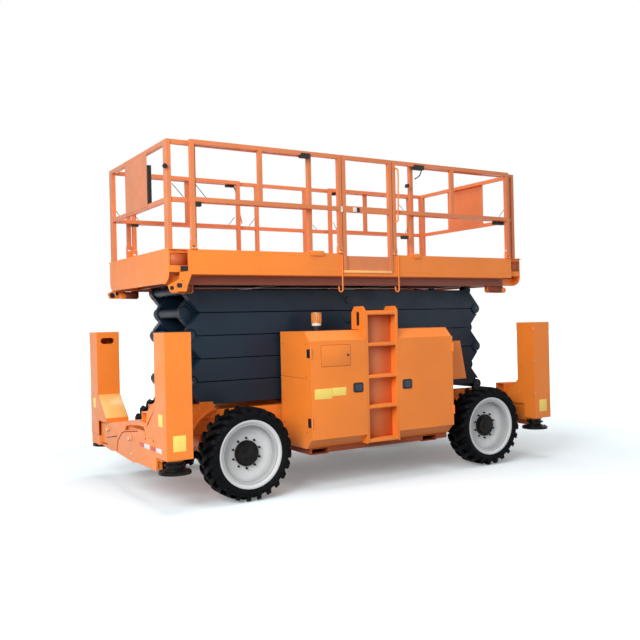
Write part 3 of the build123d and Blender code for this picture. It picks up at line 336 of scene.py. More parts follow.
DECK_UNDERSIDE = (2.036, 2.022)  # heights over which the main deck's paint darkens to maroon, as painted shade on its underside
PAINTS = {
    "orange_paint": dict(colour=ORANGE, coat=0.12),
    "rail_paint": dict(colour=RAIL_ORANGE, spread=0.07, dust=0.0, coat=0.10),
    # the main deck darkens to maroon on its underside, as painted shade
    "deck_paint": dict(colour=ORANGE, spread=0.07, dust=0.0, coat=0.10, under=DECK_UNDERSIDE, grip=0.05),
    "extension_paint": dict(colour=ORANGE, spread=0.07, dust=0.0, coat=0.10, grip=0.05),
    "sunlit_orange": dict(colour=SUNLIT_ORANGE, rough=0.28, dust=0.0, coat=0.4),
    # maroon painted as shade on the roller brackets' faces under the deck
    "bracket_shade_maroon": dict(colour=UNDERSIDE_SHADE_MAROON, rough=0.55, dust=0.0),
    # a darker orange painted as the shade in the corner bays
    "recess_shade_orange": dict(colour=RECESS_SHADE_ORANGE, rough=0.5, dust=0.0),
    "gap_shadow": dict(colour=GAP_SHADOW_BROWN, rough=0.7, edge=0.0, dust=0.0),
    # dark brown painted as shade on the fork pockets' frame under the chassis
    "shaded_underframe": dict(colour=UNDERFRAME_SHADE_BROWN, rough=0.55, spread=0.12, edge=0.3, dust=0.0),
    "scissor_paint": dict(colour=NAVY, rough=0.42, spread=0.10, edge=0.9, dust=0.0, radius=0.005,
                          shine=0.26),
    # the wheel's barrel is darkened as painted shade
    "wheel_paint": dict(colour=SILVER, rough=0.36, spread=0.03, edge=0.2, dust=0.12, coat=0.25,
                        barrel=0.6),
    "black_steel": dict(colour=BLACK, rough=0.34, spread=0.12, edge=1.5, dust=0.08, radius=0.002,
                        shine=0.12),
    # black plastic, also laid as dark films painted as the shade in holes and slots
    "black_plastic": dict(colour=PLASTIC_AND_HOLE_SHADE, rough=0.5, spread=0.06, edge=0.2, dust=0.2),
    # grey painted as the shade in a wheel dish's groove
    "groove_shade_grey": dict(colour=GROOVE_SHADE_GREY, rough=0.5, dust=0.1),
}
METALS = {
    "chrome_rod": dict(colour=CHROME, rough=0.14, spread=0.03, grain=(0.05, 1, 1)),
    "engine_iron": dict(colour=IRON, rough=0.55, spread=0.2),
    "zinc": dict(colour=ZINC, rough=0.36),
    "latch_grey": dict(colour=LATCH, rough=0.45, spread=0.06),
    "dark_bolt": dict(colour=BOLT_BROWN, rough=0.5, spread=0.08),
}
STICKERS = {"yellow_film": YELLOW, "red_tape": RED, "white_tape": WHITE}
MATERIALS = {"tyre_rubber": rubber("tyre_rubber"), "amber_lens": lens("amber_lens", AMBER)}
MATERIALS |= {name: paint(name, **look) for name, look in PAINTS.items()}
MATERIALS |= {name: metal(name, **look) for name, look in METALS.items()}
MATERIALS |= {name: sticker(name, colour) for name, colour in STICKERS.items()}
CAD_FINISH = {  # words in the names of CAD nodes; a node with none of them is orange
    "wheel_paint": ("rim",),
    "tyre_rubber": ("tyre",),
    "scissor_paint": ("scissor_arm", "cylinder_barrel", "knuckle"),
    "chrome_rod": ("cylinder_rod",),
    "black_steel": ("jack_leg", "rear_axle"),
    # the fork pockets' frame takes the brown painted as shade
    "shaded_underframe": ("fork_pocket_frame",),
    "deck_paint": ("main_deck",),
    "extension_paint": ("extension_deck",),
    "rail_paint": ("rail", "gate"),
    "engine_iron": ("engine_block",),
    "amber_lens": ("beacon",),
    "black_plastic": ("control_box",),
}


def finish_cad_nodes():
    """Gives every CAD node the material that its name calls for."""
    for name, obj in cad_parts.items():
        slot = next((s for s, words in CAD_FINISH.items() if any(w in name for w in words)), "orange_paint")
        obj.data.materials.clear()
        obj.data.materials.append(MATERIALS[slot])


# ---------------------------------------------------------------- mesh helpers
FOLD = radians(25)  # edges sharper than this are bevelled
SMOOTH_BELOW = radians(35)  # edges sharper than this are shaded sharp
HEX = 6


def axes(axis):
    """The two directions across an axis, and the axis, as unit vectors."""
    along = {"x": Vector((1, 0, 0)), "y": Vector((0, 1, 0)), "z": Vector((0, 0, 1))}[axis]
    across = Vector((0, 0, 1)) if axis != "z" else Vector((1, 0, 0))
    return along.cross(across).normalized(), across, along


def turns(count, start=0.0):
    """Angles evenly round a circle; start is a share of one step."""
    return [2 * pi * (k + start) / count for k in range(count)]


def each_once(items):
    """The items in order, without repeats."""
    return list(dict.fromkeys(items))


class Piece:
    """Collects bevelled shapes into one mesh object that rides on a body."""

    def __init__(self):
        self.bm = bmesh.new()

    def _bevel(self, edges, width):
        bmesh.ops.bevel(self.bm, geom=each_once(edges), offset=width, segments=2, profile=0.6,
                        affect="EDGES", clamp_overlap=True)

    def _folds(self, verts):
        return (e for v in verts for e in v.link_edges
                if len(e.link_faces) == 2 and e.calc_face_angle(0) > FOLD)

    def _join(self, first, last):
        """Walls between two rings of vertices, with a cap on each ring."""
        self.bm.faces.new(first)
        self.bm.faces.new(list(reversed(last)))
        for i in range(len(first)):
            j = (i + 1) % len(first)
            self.bm.faces.new((first[i], last[i], last[j], first[j]))
        made = each_once(f for v in first + last for f in v.link_faces)
        bmesh.ops.recalc_face_normals(self.bm, faces=made)

    def block(self, x0, x1, y0, y1, z0, z1, bevel):
        made = bmesh.ops.create_cube(self.bm, size=1)["verts"]
        for v in made:
            v.co = Vector(((x0 + x1) / 2 + v.co.x * abs(x1 - x0), (y0 + y1) / 2 + v.co.y * abs(y1 - y0),
                           (z0 + z1) / 2 + v.co.z * abs(z1 - z0)))
        self._bevel(self._folds(made), bevel)

    def prism(self, points, axis, a, b, bevel):
        """An outline of (u, v) points across an axis, from a to b along it.

        Across x, (u, v) are (y, z); across y they are (x, z); across z they are (x, y).
        """
        place = {"x": lambda u, v, w: (w, u, v), "y": lambda u, v, w: (u, w, v),
                 "z": lambda u, v, w: (u, v, w)}[axis]
        first, last = ([self.bm.verts.new(place(u, v, w)) for u, v in points] for w in (a, b))
        self._join(first, last)
        self._bevel(self._folds(first + last), bevel)

    def disc(self, centre, axis, radius, length, bevel, sides):
        """A round or many-sided bar that starts at centre and runs along the axis."""
        u, v, w = axes(axis)
        first, last = ([self.bm.verts.new(Vector(centre) + w * k + (u * cos(t) + v * sin(t)) * radius)
                        for t in turns(sides)] for k in (0, length))
        self._join(first, last)
        self._bevel((e for rim in (first, last) for x in rim for e in x.link_edges
                     if (e.verts[0] in rim) == (e.verts[1] in rim)), bevel)

    def bolt(self, centre, axis, size, out=1):
        """A hexagon head on a washer, standing proud in the direction out."""
        start = Vector(centre)
        along = axes(axis)[2] * out
        self.disc(start, axis, size * 0.95, out * size * 0.16, 0.0004, 20)
        self.disc(start + along * size * 0.16, axis, size * 0.6, out * size * 0.45, size * 0.06, HEX)
        self.disc(start + along * size * 0.58, axis, size * 0.3, out * size * 0.12, 0.0002, 12)

    def done(self, name, material, body):
        mesh = bpy.data.meshes.new(name)
        self.bm.normal_update()
        self.bm.to_mesh(mesh)
        self.bm.free()
        mesh.shade_smooth()
        mesh.set_sharp_from_angle(angle=SMOOTH_BELOW)
        obj = show(name, mesh, material, body)
        return obj


def show(name, data, material, body):
    """Adds a mesh or a curve to the scene with its material, riding on a body."""
    data.materials.append(MATERIALS[material])
    obj = bpy.data.objects.new(name, data)
    bpy.context.scene.collection.objects.link(obj)
    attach(obj, body)
    return obj


def rod(name, points, radius, material, body, smooth=False):
    """A bent rod or wire that follows points, with rounded corners if smooth."""
    curve = bpy.data.curves.new(name, "CURVE")
    curve.dimensions = "3D"
    spline = curve.splines.new("NURBS" if smooth else "POLY")
    spline.points.add(len(points) - 1)
    for point, place in zip(spline.points, points):
        point.co = (*place, 1)
    if smooth:
        spline.order_u = 3
        spline.use_endpoint_u = True
    curve.bevel_depth = radius
    curve.bevel_resolution = 3
    curve.resolution_u = 6
    curve.use_fill_caps = True
    show(name, curve, material, body)


def rounded(u0, u1, v0, v1, radius, steps=4):
    """The outline of a rectangle with round corners."""
    points = []
    for cu, cv, turn in ((u1 - radius, v1 - radius, 0), (u0 + radius, v1 - radius, 1),
                         (u0 + radius, v0 + radius, 2), (u1 - radius, v0 + radius, 3)):
        for i in range(steps + 1):
            t = pi / 2 * (turn + i / steps)
            points.append((cu + radius * cos(t), cv + radius * sin(t)))
    return points


def blocks(name, material, body, rows, bevel):
    """Bevelled blocks in one piece; each row is (x0, x1, y0, y1, z0, z1)."""
    piece = Piece()
    for spans in rows:
        piece.block(*spans, bevel)
    piece.done(name, material, body)


def discs(name, material, body, axis, rows):
    """Discs in one piece; each row is (centre, radius, length, bevel, sides)."""
    piece = Piece()
    for centre, radius, length, bevel, sides in rows:
        piece.disc(centre, axis, radius, length, bevel, sides)
    piece.done(name, material, body)


def bolts(name, material, body, rows):
    """Hexagon bolts in one piece; each row is (x, y, z, axis, size, out)."""
    piece = Piece()
    for x, y, z, axis, size, out in rows:
        piece.bolt((x, y, z), axis, size, out)
    piece.done(name, material, body)


def plates(name, material, body, axis, a, b, outlines, bevel):
    """Flat plates in one piece, from a to b along an axis; each outline is a list of (u, v)."""
    piece = Piece()
    for outline in outlines:
        piece.prism(outline, axis, a, b, bevel)
    piece.done(name, material, body)


def film(name, material, body, axis, at, out, rows):
    """Thin printed film; each row is (u0, u1, v0, v1) on the plane at, across the axis."""
    plates(name, material, body, axis, at, at + out * 0.0008, [rounded(*r, 0.004) for r in rows], 0.0002)


# ---------------------------------------------------------------- wheels
WHEEL_X, WHEEL_Y, WHEEL_Z = 1.44, 0.915, 0.42  # how far a tyre's middle is from the frame's origin
TYRE_R = 0.42
TURNED_STEPS = 120
# Points of an outline are (radius, distance outward).
CARCASS = [(0.30, 0.0), (0.30, 0.112), (0.306, 0.112), (0.318, 0.130), (0.330, 0.139), (0.343, 0.143),
           (0.346, 0.1455), (0.350, 0.143), (0.362, 0.140), (0.374, 0.131), (0.381, 0.112), (0.384, 0.05),
           (0.384, 0.0)]
LUGS = 24  # on each shoulder of a tyre
LUG_PROFILE = [(0.352, 0.138), (0.356, 0.1485), (0.388, 0.1465), (0.404, 0.134), (0.4195, 0.108),
               (0.4198, 0.05), (0.4195, -0.018), (0.378, -0.026), (0.370, 0.06), (0.362, 0.125)]
LUG_OUT, LUG_REACH = 0.15, 0.17  # a lug's outer edge and its length across the tread
SHOULDER_HALF, CENTRE_HALF = 0.020, 0.026  # half its width there and at its inner end
LUG_FLARE = 4  # how fast it widens towards its root
LUG_SKEW = radians(13)
HUB_FACE = 0.930  # the outer face of a rim's dish, as a distance across
HUB_STEPS = [(0.0, 0.117, 0.020, 0.003, 48), (0.020, 0.100, 0.022, 0.006, 48),
             (0.042, 0.046, 0.008, 0.002, 32)]  # (start, radius, length, bevel, sides)
HUB_BOLTS, HUB_BOLT_R, STUD_R = 10, 0.082, 0.137
# A grey ring painted as shade in the groove round a rim's dish
DISH_GROOVE = [(0.2345, 0.925), (0.2345, 0.9365), (0.2385, 0.9375), (0.2385, 0.925)]


def turned(bm, profile, x, y, side):
    """Turns an outline about a wheel's axle, closed back to its first point."""
    rows = [[bm.verts.new((x + r * cos(t), y + side * w, WHEEL_Z + r * sin(t))) for r, w in profile]
            for t in turns(TURNED_STEPS)]
    for a, b in zip(rows, rows[1:] + rows[:1]):
        for k in range(len(profile)):
            m = (k + 1) % len(profile)
            bm.faces.new((a[k], b[k], b[m], a[m]))


def lug(bm, x, y, side, start):
    """One tyre lug, from the middle of the tread over the shoulder to the sidewall."""
    pairs = []
    for r, w in LUG_PROFILE:
        share = (LUG_OUT - w) / LUG_REACH
        half = SHOULDER_HALF * (1 - share) + CENTRE_HALF * share
        half *= 1.0 + (TYRE_R - r) * LUG_FLARE
        middle = start + LUG_SKEW * share
        pairs.append([bm.verts.new((x + r * cos(t), y + side * w, WHEEL_Z + r * sin(t)))
                      for t in (middle - half / TYRE_R, middle + half / TYRE_R)])
    for a, b in zip(pairs, pairs[1:] + pairs[:1]):
        bm.faces.new((a[0], b[0], b[1], a[1]))
    bm.faces.new([a[0] for a in pairs])
    bm.faces.new([a[1] for a in reversed(pairs)])


def tyre(end, side):
    """A treaded tyre in place of the CAD's plain one."""
    node = corner(end, side) + "_tyre"
    x, y = end * WHEEL_X, side * WHEEL_Y
    bm = bmesh.new()
    turned(bm, CARCASS + [(r, -w) for r, w in reversed(CARCASS[1:-1])], x, y, 1)
    for outer, inner in zip(turns(LUGS), turns(LUGS, 0.5)):
        lug(bm, x, y, 1, outer)
        lug(bm, x, y, -1, inner)
    bmesh.ops.recalc_face_normals(bm, faces=bm.faces)
    mesh = bpy.data.meshes.new(node + "_tread")
    bm.to_mesh(mesh)
    bm.free()
    obj = show(node + "_tread", mesh, "tyre_rubber", corner(end, side) + "_wheel")
    bevel = obj.modifiers.new("round", "BEVEL")
    bevel.width, bevel.segments, bevel.limit_method, bevel.angle_limit = 0.003, 2, "ANGLE", radians(40)
    mesh.shade_smooth()
    mesh.set_sharp_from_angle(angle=radians(50))
    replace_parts(obj, node)


def hub(end, side):
    """The black drive hub in a wheel's dish, with its bolts and studs, and a grey ring painted as the shade
    in the dish's groove.
    """
    wheel = corner(end, side) + "_wheel"
    x, face = end * WHEEL_X, side * HUB_FACE
    piece = Piece()
    for start, radius, length, bevel, sides in HUB_STEPS:
        piece.disc((x, face + side * start, WHEEL_Z), "y", radius, side * length, bevel, sides)
    for t in turns(HUB_BOLTS):
        at = (x + HUB_BOLT_R * cos(t), face + side * HUB_STEPS[-1][0], WHEEL_Z + HUB_BOLT_R * sin(t))
        piece.bolt(at, "y", 0.010, side)
    for t in turns(HUB_BOLTS, 0.5):
        at = (x + STUD_R * cos(t), face, WHEEL_Z + STUD_R * sin(t))
        piece.disc(at, "y", 0.011, side * 0.010, 0.001, HEX)
        piece.disc(at, "y", 0.006, side * 0.024, 0.001, 12)
    piece.done(wheel + "_hub", "black_steel", wheel)
    # a grey ring painted as the shade in the dish's groove
    groove = Piece()
    turned(groove.bm, DISH_GROOVE, x, 0, side)
    bmesh.ops.recalc_face_normals(groove.bm, faces=groove.bm.faces)
    groove.done(wheel + "_dish_groove_shade", "groove_shade_grey", wheel)


# ---------------------------------------------------------------- outriggers
COVER_FRONT, COVER_BACK = 2.263, 2.027  # a jack cover's faces along the machine
COVER_IN, COVER_OUT = 0.869, 1.129  # and across it
COVER_BOLTS_Z, FRONT_BOLTS_Z = (0.74, 1.10, 1.46), (1.02, 1.42)
SKIRT_TOP, SKIRT_FOOT, SKIRT_LIFT = (0.864, 0.8770), (0.604, 0.6547), (-0.0013, 0.0015)  # (y, z)
JACK_X, JACK_Y = 2.145, 0.999
FLANGE_Z, FLANGE_BOLTS, FLANGE_BOLT_R = 0.352, 8, 0.117
PLATE_NEAR, PLATE_FAR = 2.263, 2.237  # outer faces of the two plates across an end
TAPE_Z = (0.507, 0.545)
PIVOT_Z = 0.545
SLOTS = [(0.657, 0.450, 0.326, 0.502), (0.840, 0.378, 0.647, 0.385)]  # (y0, z0, y1, z1) of lower edges
# The outline of a band painted as shadow along the near plate's nose
NOSE = [(0.256, 0.366), (0.204, 0.490), (0.076, 0.574), (-0.005, 0.594), (-0.400, 0.638)]  # (y, z)
NOSE_INNER = [(-0.400, 0.630), (-0.009, 0.585), (0.068, 0.564), (0.189, 0.484), (0.238, 0.366)]


def outrigger_trim(end, side):
    """Bolts, labels, the sloping skirt and the foot's flange on one outrigger."""
    name, jack = corner(end, side), corner(end, side) + "_jack"
    face, front = side * COVER_OUT, end * COVER_FRONT
    rows = [(end * COVER_BACK, side * y, z, "x", 0.009, -end)
            for y in (COVER_IN + 0.014, COVER_OUT - 0.012) for z in COVER_BOLTS_Z]
    rows += [(front, side * (COVER_IN + 0.010), z, "x", 0.006, end) for z in FRONT_BOLTS_Z]
    bolts(name + "_cover_bolts", "zinc", "chassis", rows)
    film(name + "_cover_label", "yellow_film", "chassis", "y", face, side,
         [(*span(end, 2.205, 2.091), 0.532, 0.665)])
    film(name + "_end_label", "yellow_film", "chassis", "x", front, end,
         [(*span(side, 0.945, 1.045), 0.735, 0.838)])
    edge = [SKIRT_TOP, SKIRT_FOOT]
    edge += [(y + SKIRT_LIFT[0], z + SKIRT_LIFT[1]) for y, z in (SKIRT_FOOT, SKIRT_TOP)]
    plates(name + "_skirt_sheet", "sunlit_orange", "chassis", "x",
           *span(end, COVER_FRONT - 0.004, COVER_BACK + 0.004), [[(side * y, z) for y, z in edge]], 0.0004)
    x, y = end * JACK_X, side * JACK_Y
    foot = Piece()
    foot.disc((x, y, FLANGE_Z), "z", 0.136, 0.006, 0.002, 64)
    foot.disc((x, y, FLANGE_Z + 0.005), "z", 0.098, 0.012, 0.004, 48)
    for t in turns(FLANGE_BOLTS, 0.5):
        foot.bolt((x + FLANGE_BOLT_R * cos(t), y + FLANGE_BOLT_R * sin(t), FLANGE_Z + 0.006), "z", 0.010)
    foot.done(jack + "_flange", "black_steel", jack)


def beam_trim(end):
    """Reflective tape, pivot nuts and bolts on the plates across one end, with dark films painted as the
    shade in their holes and slots, and a brown band painted as the shadow along the near plate's nose.
    """
    name = "front" if end == LEFT else "rear"
    near, far = end * PLATE_NEAR, end * PLATE_FAR
    film(name + "_tape_red", "red_tape", "chassis", "x", near, end,
         [(-0.566, -0.442, *TAPE_Z), (-0.866, -0.716, *TAPE_Z)])
    film(name + "_tape_white", "white_tape", "chassis", "x", near, end, [(-0.715, -0.567, *TAPE_Z)])
    film(name + "_cover_tape", "white_tape", "chassis", "x", end * COVER_FRONT, end,
         [(-1.010, -0.871, *TAPE_Z)])
    caps = []
    for plane, y in ((near, -0.177), (far, 0.605)):
        caps.append(((plane + end * 0.0165, y, PIVOT_Z), 0.021, end * 0.005, 0.0015, HEX))
        caps.append(((plane, y, PIVOT_Z), 0.036, end * 0.005, 0.0015, 40))
    discs(name + "_pivot_nuts", "zinc", "chassis", "x", caps)
    bolts(name + "_plate_bolts", "zinc", "chassis",
          [(far, -0.469, 0.690, "x", 0.010, end), (near, -0.188, 0.402, "x", 0.010, end)])
    # dark films painted as the shade inside the plates' holes and slots
    holes = Piece()
    for y, z in ((-0.604, 0.589), (-0.808, 0.592)):
        holes.disc((near, y, z), "x", 0.009, end * 0.0015, 0.0003, 20)
    for y0, z0, y1, z1 in SLOTS:
        holes.prism([(y0, z0), (y1, z1), (y1, z1 + 0.010), (y0, z0 + 0.010)], "x", far, far + end * 0.0012,
                    0.0003)
    holes.done(name + "_plate_slots", "black_plastic", "chassis")
    # a brown band painted as the shadow along the near plate's nose
    plates(name + "_plate_edge_shadow", "gap_shadow", "chassis", "x", near, near + end * 0.0012,
           [NOSE + NOSE_INNER], 0.0003)


# ---------------------------------------------------------------- cabinets
CABINET_FACE, CABINET_LEFT, CABINET_RIGHT = 1.1, -0.84, 0.87
CABINET_TOP = 1.500
BEACON_XY, BAND_Z, DOME_Z, DOME_R = (-0.528, -0.700), 1.549, 1.585, 0.047
DOME = [(1.576, 0.052, 0.010, 0.003), (DOME_Z, DOME_R, 0.078, 0.003), (1.662, 0.052, 0.020, 0.008),
        (1.610, 0.0495, 0.004, 0.001), (1.636, 0.0495, 0.004, 0.001)]  # (z, radius, height, bevel)
FLAP = (-0.725, -0.401, 1.168, 1.366)  # (x0, x1, z0, z1)
FLAP_LOCK_Z = 1.268
HINGES_Z = [(0.606, 0.692), (1.254, 1.336)]
# Points on a cabinet's end are (y, z).
SIDE_BOLTS = [(1.012, 1.383), (1.013, 1.082), (0.575, 1.388), (0.567, 1.092), (0.575, 0.62), (1.012, 0.56)]
SIDE_SEAM = [(0.525, 1.0675), (1.018, 1.0565), (1.018, 1.0595), (0.525, 1.0705)]


def paddle_latch(name, body, x0, x1, z0, z1, side):
    """A recessed paddle latch: a dark rounded frame and its grey paddle."""
    face = side * CABINET_FACE
    plates(name + "_frame", "black_plastic", body, "y", face, face + side * 0.006,
           [rounded(x0, x1, z0, z1, 0.018)], 0.002)
    handle = Piece()
    handle.prism(rounded(x0 + 0.016, x1 - 0.016, z0 + 0.016, z1 - 0.016, 0.010), "y",
                 face + side * 0.004, face + side * 0.010, 0.002)
    handle.prism(rounded(x0 + 0.022, x1 - 0.022, z0 + 0.042, z1 - 0.020, 0.008), "y",
                 face + side * 0.008, face + side * 0.013, 0.002)
    handle.disc((x0 + 0.032, face + side * 0.009, z0 + 0.030), "y", 0.009, side * 0.005, 0.001, 24)
    handle.done(name + "_paddle", "latch_grey", body)


def service_flap(side):
    """The flap in the left door, with the shadow round it and its lock."""
    name, door = row(side) + "_left_flap", row(side) + "_left_door"
    face = side * CABINET_FACE
    x0, x1, z0, z1 = FLAP
    plates(name + "_gap", "gap_shadow", door, "y", face, face + side * 0.0006,
           [rounded(x0 - 0.003, x1 + 0.003, z0 - 0.003, z1 + 0.003, 0.008)], 0.0001)
    plates(name, "orange_paint", door, "y", face, face + side * 0.0022, [rounded(*FLAP, 0.006)], 0.0010)
    discs(name + "_lock", "latch_grey", door, "y",
          [((x1 - 0.027, face + side * 0.002, FLAP_LOCK_Z), 0.013, side * 0.004, 0.001, 32),
           ((x1 - 0.027, face + side * 0.006, FLAP_LOCK_Z), 0.008, side * 0.003, 0.001, 24)])


def cabinet_end(side, name, x, out):
    """Hinge plates, bolts and the seam on the outer end of one cabinet."""
    hinges = Piece()
    for z0, z1 in HINGES_Z:
        hinges.prism(rounded(*span(side, 1.090, 1.032), z0, z1, 0.006), "x", x, x + out * 0.004, 0.001)
        for y, z in ((1.058, z0 + 0.018), (1.058, z1 - 0.018), (1.074, z0 + 0.030), (1.074, z0 + 0.058)):
            hinges.disc((x + out * 0.004, side * y, z), "x", 0.005, out * 0.0015, 0.0004, 16)
    hinges.done(name + "_hinge_plates", "latch_grey", "chassis")
    bolts(name + "_side_bolts", "dark_bolt", "chassis",
          [(x, side * y, z, "x", 0.006, out) for y, z in SIDE_BOLTS])
    plates(name + "_side_seam", "gap_shadow", "chassis", "x", x, x + out * 0.0005,
           [[(side * y, z) for y, z in SIDE_SEAM]], 0.0001)


def cabinet_trim(side):
    """Latches, the flap, labels and the outer ends of the two cabinets on one side."""
    name = row(side)
    paddle_latch(name + "_left_latch", name + "_left_door", -0.375, -0.262, 0.905, 0.998, side)
    paddle_latch(name + "_right_latch", name + "_right_door", 0.214, 0.330, 0.902, 0.998, side)
    service_flap(side)
    film(name + "_door_labels", "yellow_film", name + "_left_door", "y", side * CABINET_FACE, side,
         [(-0.806, -0.616, 0.866, 0.962), (-0.612, -0.457, 0.888, 0.965)])
    cabinet_end(side, name + "_left", CABINET_LEFT, LEFT)
    cabinet_end(side, name + "_right", CABINET_RIGHT, RIGHT)


def beacon():
    """The flashing beacon: a dark foot, a white band and a ribbed amber lens under a cap."""
    x, y = BEACON_XY
    discs("beacon_foot", "black_plastic", "chassis", "z",
          [((x, y, CABINET_TOP), 0.052, 0.014, 0.004, 40),
           ((x, y, CABINET_TOP + 0.012), 0.040, 0.038, 0.004, 40)])
    discs("beacon_band", "white_tape", "chassis", "z", [((x, y, BAND_Z), 0.046, 0.027, 0.004, 40)])
    glass = Piece()
    for z, radius, length, bevel in DOME:
        glass.disc((x, y, z), "z", radius, length, bevel, 48)
    for t in turns(16):
        glass.disc((x + DOME_R * cos(t), y + DOME_R * sin(t), DOME_Z), "z", 0.0045, 0.078, 0.001, 10)
    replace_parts(glass.done("beacon_lens", "amber_lens", "chassis"), "beacon")


# ---------------------------------------------------------------- ladder
LADDER_LEFT, LADDER_RIGHT = -0.212, 0.162  # the treads' ends
TREAD_TOPS = (0.437, 0.765, 1.059, 1.370, 1.675)
TEETH, TOOTH_PITCH = 11, 0.033


def ladder_trim():
    """Tread noses with grip teeth, the back sheet, the folded edges, and dark films painted as the shade in
    the hand slots.
    """
    treads = Piece()
    for z in TREAD_TOPS:
        treads.block(LADDER_LEFT, LADDER_RIGHT, -1.098, -1.086, z - 0.030, z + 0.002, 0.005)
        treads.block(LADDER_LEFT, LADDER_RIGHT, -1.086, -0.987, z - 0.001, z + 0.002, 0.0008)
        for k in range(TEETH):
            x = -0.190 + k * TOOTH_PITCH
            treads.block(x, x + 0.018, -1.094, -0.998, z + 0.001, z + 0.005, 0.0015)
    treads.done("ladder_treads", "orange_paint", "chassis")
    blocks("ladder_back_sheet", "rail_paint", "chassis", [(-0.2125, 0.1625, -0.9862, -0.985, 0.440, 1.672)],
           0.0004)
    edges = Piece()
    for x0, x1 in ((LADDER_LEFT, -0.190), (0.140, LADDER_RIGHT)):
        edges.block(x0, x1, -1.0985, -1.0955, 0.42, TREAD_TOPS[-1], 0.001)
    edges.done("ladder_edges", "orange_paint", "chassis")
    # dark films painted as the shade inside the stringers' hand slots
    slots = Piece()
    for x0, x1 in ((-0.2212, -0.220), (0.1625, 0.1637)):
        slots.prism(rounded(-0.998, -0.952, 1.540, 1.680, 0.022, 6), "x", x0, x1, 0.0003)
    slots.done("ladder_hand_slots", "black_plastic", "chassis")


# ---------------------------------------------------------------- scissor stack
ARM_FACE = 0.475  # the outer arms' outer faces
PIN_X, BASE_PIN_Z, LEVEL_RISE = 1.767, 0.83, 0.2174


def scissor_trim():
    """Caps and grease points at the arms' middle pivots."""
    for level in range(1, 6):
        z = BASE_PIN_Z + (level - 0.5) * LEVEL_RISE
        caps, nipples = [], []
        for side in (NEAR, FAR):
            y = side * ARM_FACE
            caps += [((0, y, z), 0.036, side * 0.005, 0.002, 40),
                     ((0, y + side * 0.005, z), 0.020, side * 0.004, 0.0015, 32)]
            nipples += [((0.008, y + side * 0.008, z), 0.007, side * 0.006, 0.001, 12),
                        ((-0.063, y, z + 0.027), 0.007, side * 0.006, 0.001, 12)]
        discs(f"arm_{level}_pivot_caps", "scissor_paint", f"arm_{level}_outer", "y", caps)
        discs(f"arm_{level}_grease_points", "black_steel", f"arm_{level}_outer", "y", nipples)


def arm_end_bosses():
    """Round bosses with a pin's end where the outer arms of every second level are pinned."""
    for level in (1, 3, 5):
        bosses, pins = [], []
        for x, rises in ((PIN_X, level - 1), (-PIN_X, level)):
            z = BASE_PIN_Z + rises * LEVEL_RISE
            for side in (NEAR, FAR):
                bosses.append(((x, side * ARM_FACE, z), 0.053, side * 0.014, 0.004, 40))
                pins.append(((x, side * 0.489, z), 0.020, side * 0.006, 0.002, 32))
        discs(f"arm_{level}_end_bosses", "scissor_paint", f"arm_{level}_outer", "y", bosses)
        discs(f"arm_{level}_pin_ends", "latch_grey", f"arm_{level}_outer", "y", pins)


# ---------------------------------------------------------------- platform
BRACKETS = [("right", 1.694, 1.924), ("left", -2.024, -1.854)]  # (end, x0, x1)
BRACKET_FACES = [("near", -0.772, -1), ("far", 0.720, -1), ("far", 0.772, 1), ("near", -0.720, 1)]
CATCHES = [  # (piece, body, [(x0, x1, y0, y1, z0, z1)])
    ("near_left_catch", "near_left_guardrail", [(-1.866, -1.810, -0.915, -0.868, 2.628, 2.670),
                                                (-0.789, -0.682, -0.916, -0.864, 3.150, 3.196)]),
    ("near_right_catch", "near_right_guardrail", [(0.566, 0.700, -0.916, -0.864, 3.146, 3.196),
                                                  (0.403, 0.475, -0.914, -0.866, 2.420, 2.454),
                                                  (0.473, 0.502, -0.914, -0.870, 2.953, 2.990)]),
    ("right_far_catch", "far_guardrail", [(0.698, 0.750, 0.866, 0.914, 3.148, 3.190),
                                          (-0.744, -0.640, 0.864, 0.916, 3.152, 3.197)]),
    ("left_far_post_catch", "left_extension_far_rail", [(-1.877, -1.806, 0.797, 0.845, 2.640, 2.672)]),
    ("right_near_post_catch", "right_extension_near_rail", [(1.753, 1.904, -0.845, -0.797, 2.634, 2.671)]),
]
STRAPS = [  # (piece, material, body, radius, points)
    ("near_right_catch_lever", "black_plastic", "near_right_guardrail", 0.006,
     [(0.660, -0.915, 3.140), (0.650, -0.917, 3.110), (0.626, -0.917, 3.073), (0.569, -0.917, 3.045)]),
    ("far_catch_strap", "black_plastic", "far_guardrail", 0.007,
     [(-0.640, 0.884, 3.160), (-0.618, 0.884, 3.110), (-0.606, 0.884, 3.060), (-0.602, 0.884, 3.024)]),
    ("far_strap_lower", "orange_paint", "far_guardrail", 0.007,
     [(-0.584, 0.884, 2.933), (-0.578, 0.884, 2.870), (-0.560, 0.884, 2.800), (-0.548, 0.884, 2.741)]),
]
GRAB_BAR = [(0.296, -0.914, 3.139), (0.340, -0.925, 3.135), (0.350, -0.925, 3.100), (0.345, -0.925, 2.860),
            (0.338, -0.925, 2.620), (0.330, -0.925, 2.590), (0.292, -0.914, 2.579)]
STAYS = [  # (body, y, [(x0, z0, x1, z1)]); the mid rails' tops are at 2.712
    ("left_extension_near_rail", -0.842, [(-1.951, 2.712, -2.056, 2.826), (-1.730, 2.712, -1.839, 2.835)]),
    ("right_extension_near_rail", -0.842, [(1.811, 2.712, 1.909, 2.822)]),
    ("left_extension_far_rail", 0.800, [(-1.988, 2.712, -2.050, 2.802), (-1.805, 2.712, -1.853, 2.763)]),
    ("far_guardrail", 0.869, [(-0.73, 2.712, -0.648, 2.81), (-0.466, 2.712, -0.392, 2.804),
                              (0.399, 2.765, 0.455, 2.712), (0.694, 2.811, 0.751, 2.712),
                              (1.715, 3.090, 1.800, 3.009)]),
    ("right_extension_far_rail", 0.800, [(1.755, 2.712, 1.807, 2.784)]),
]
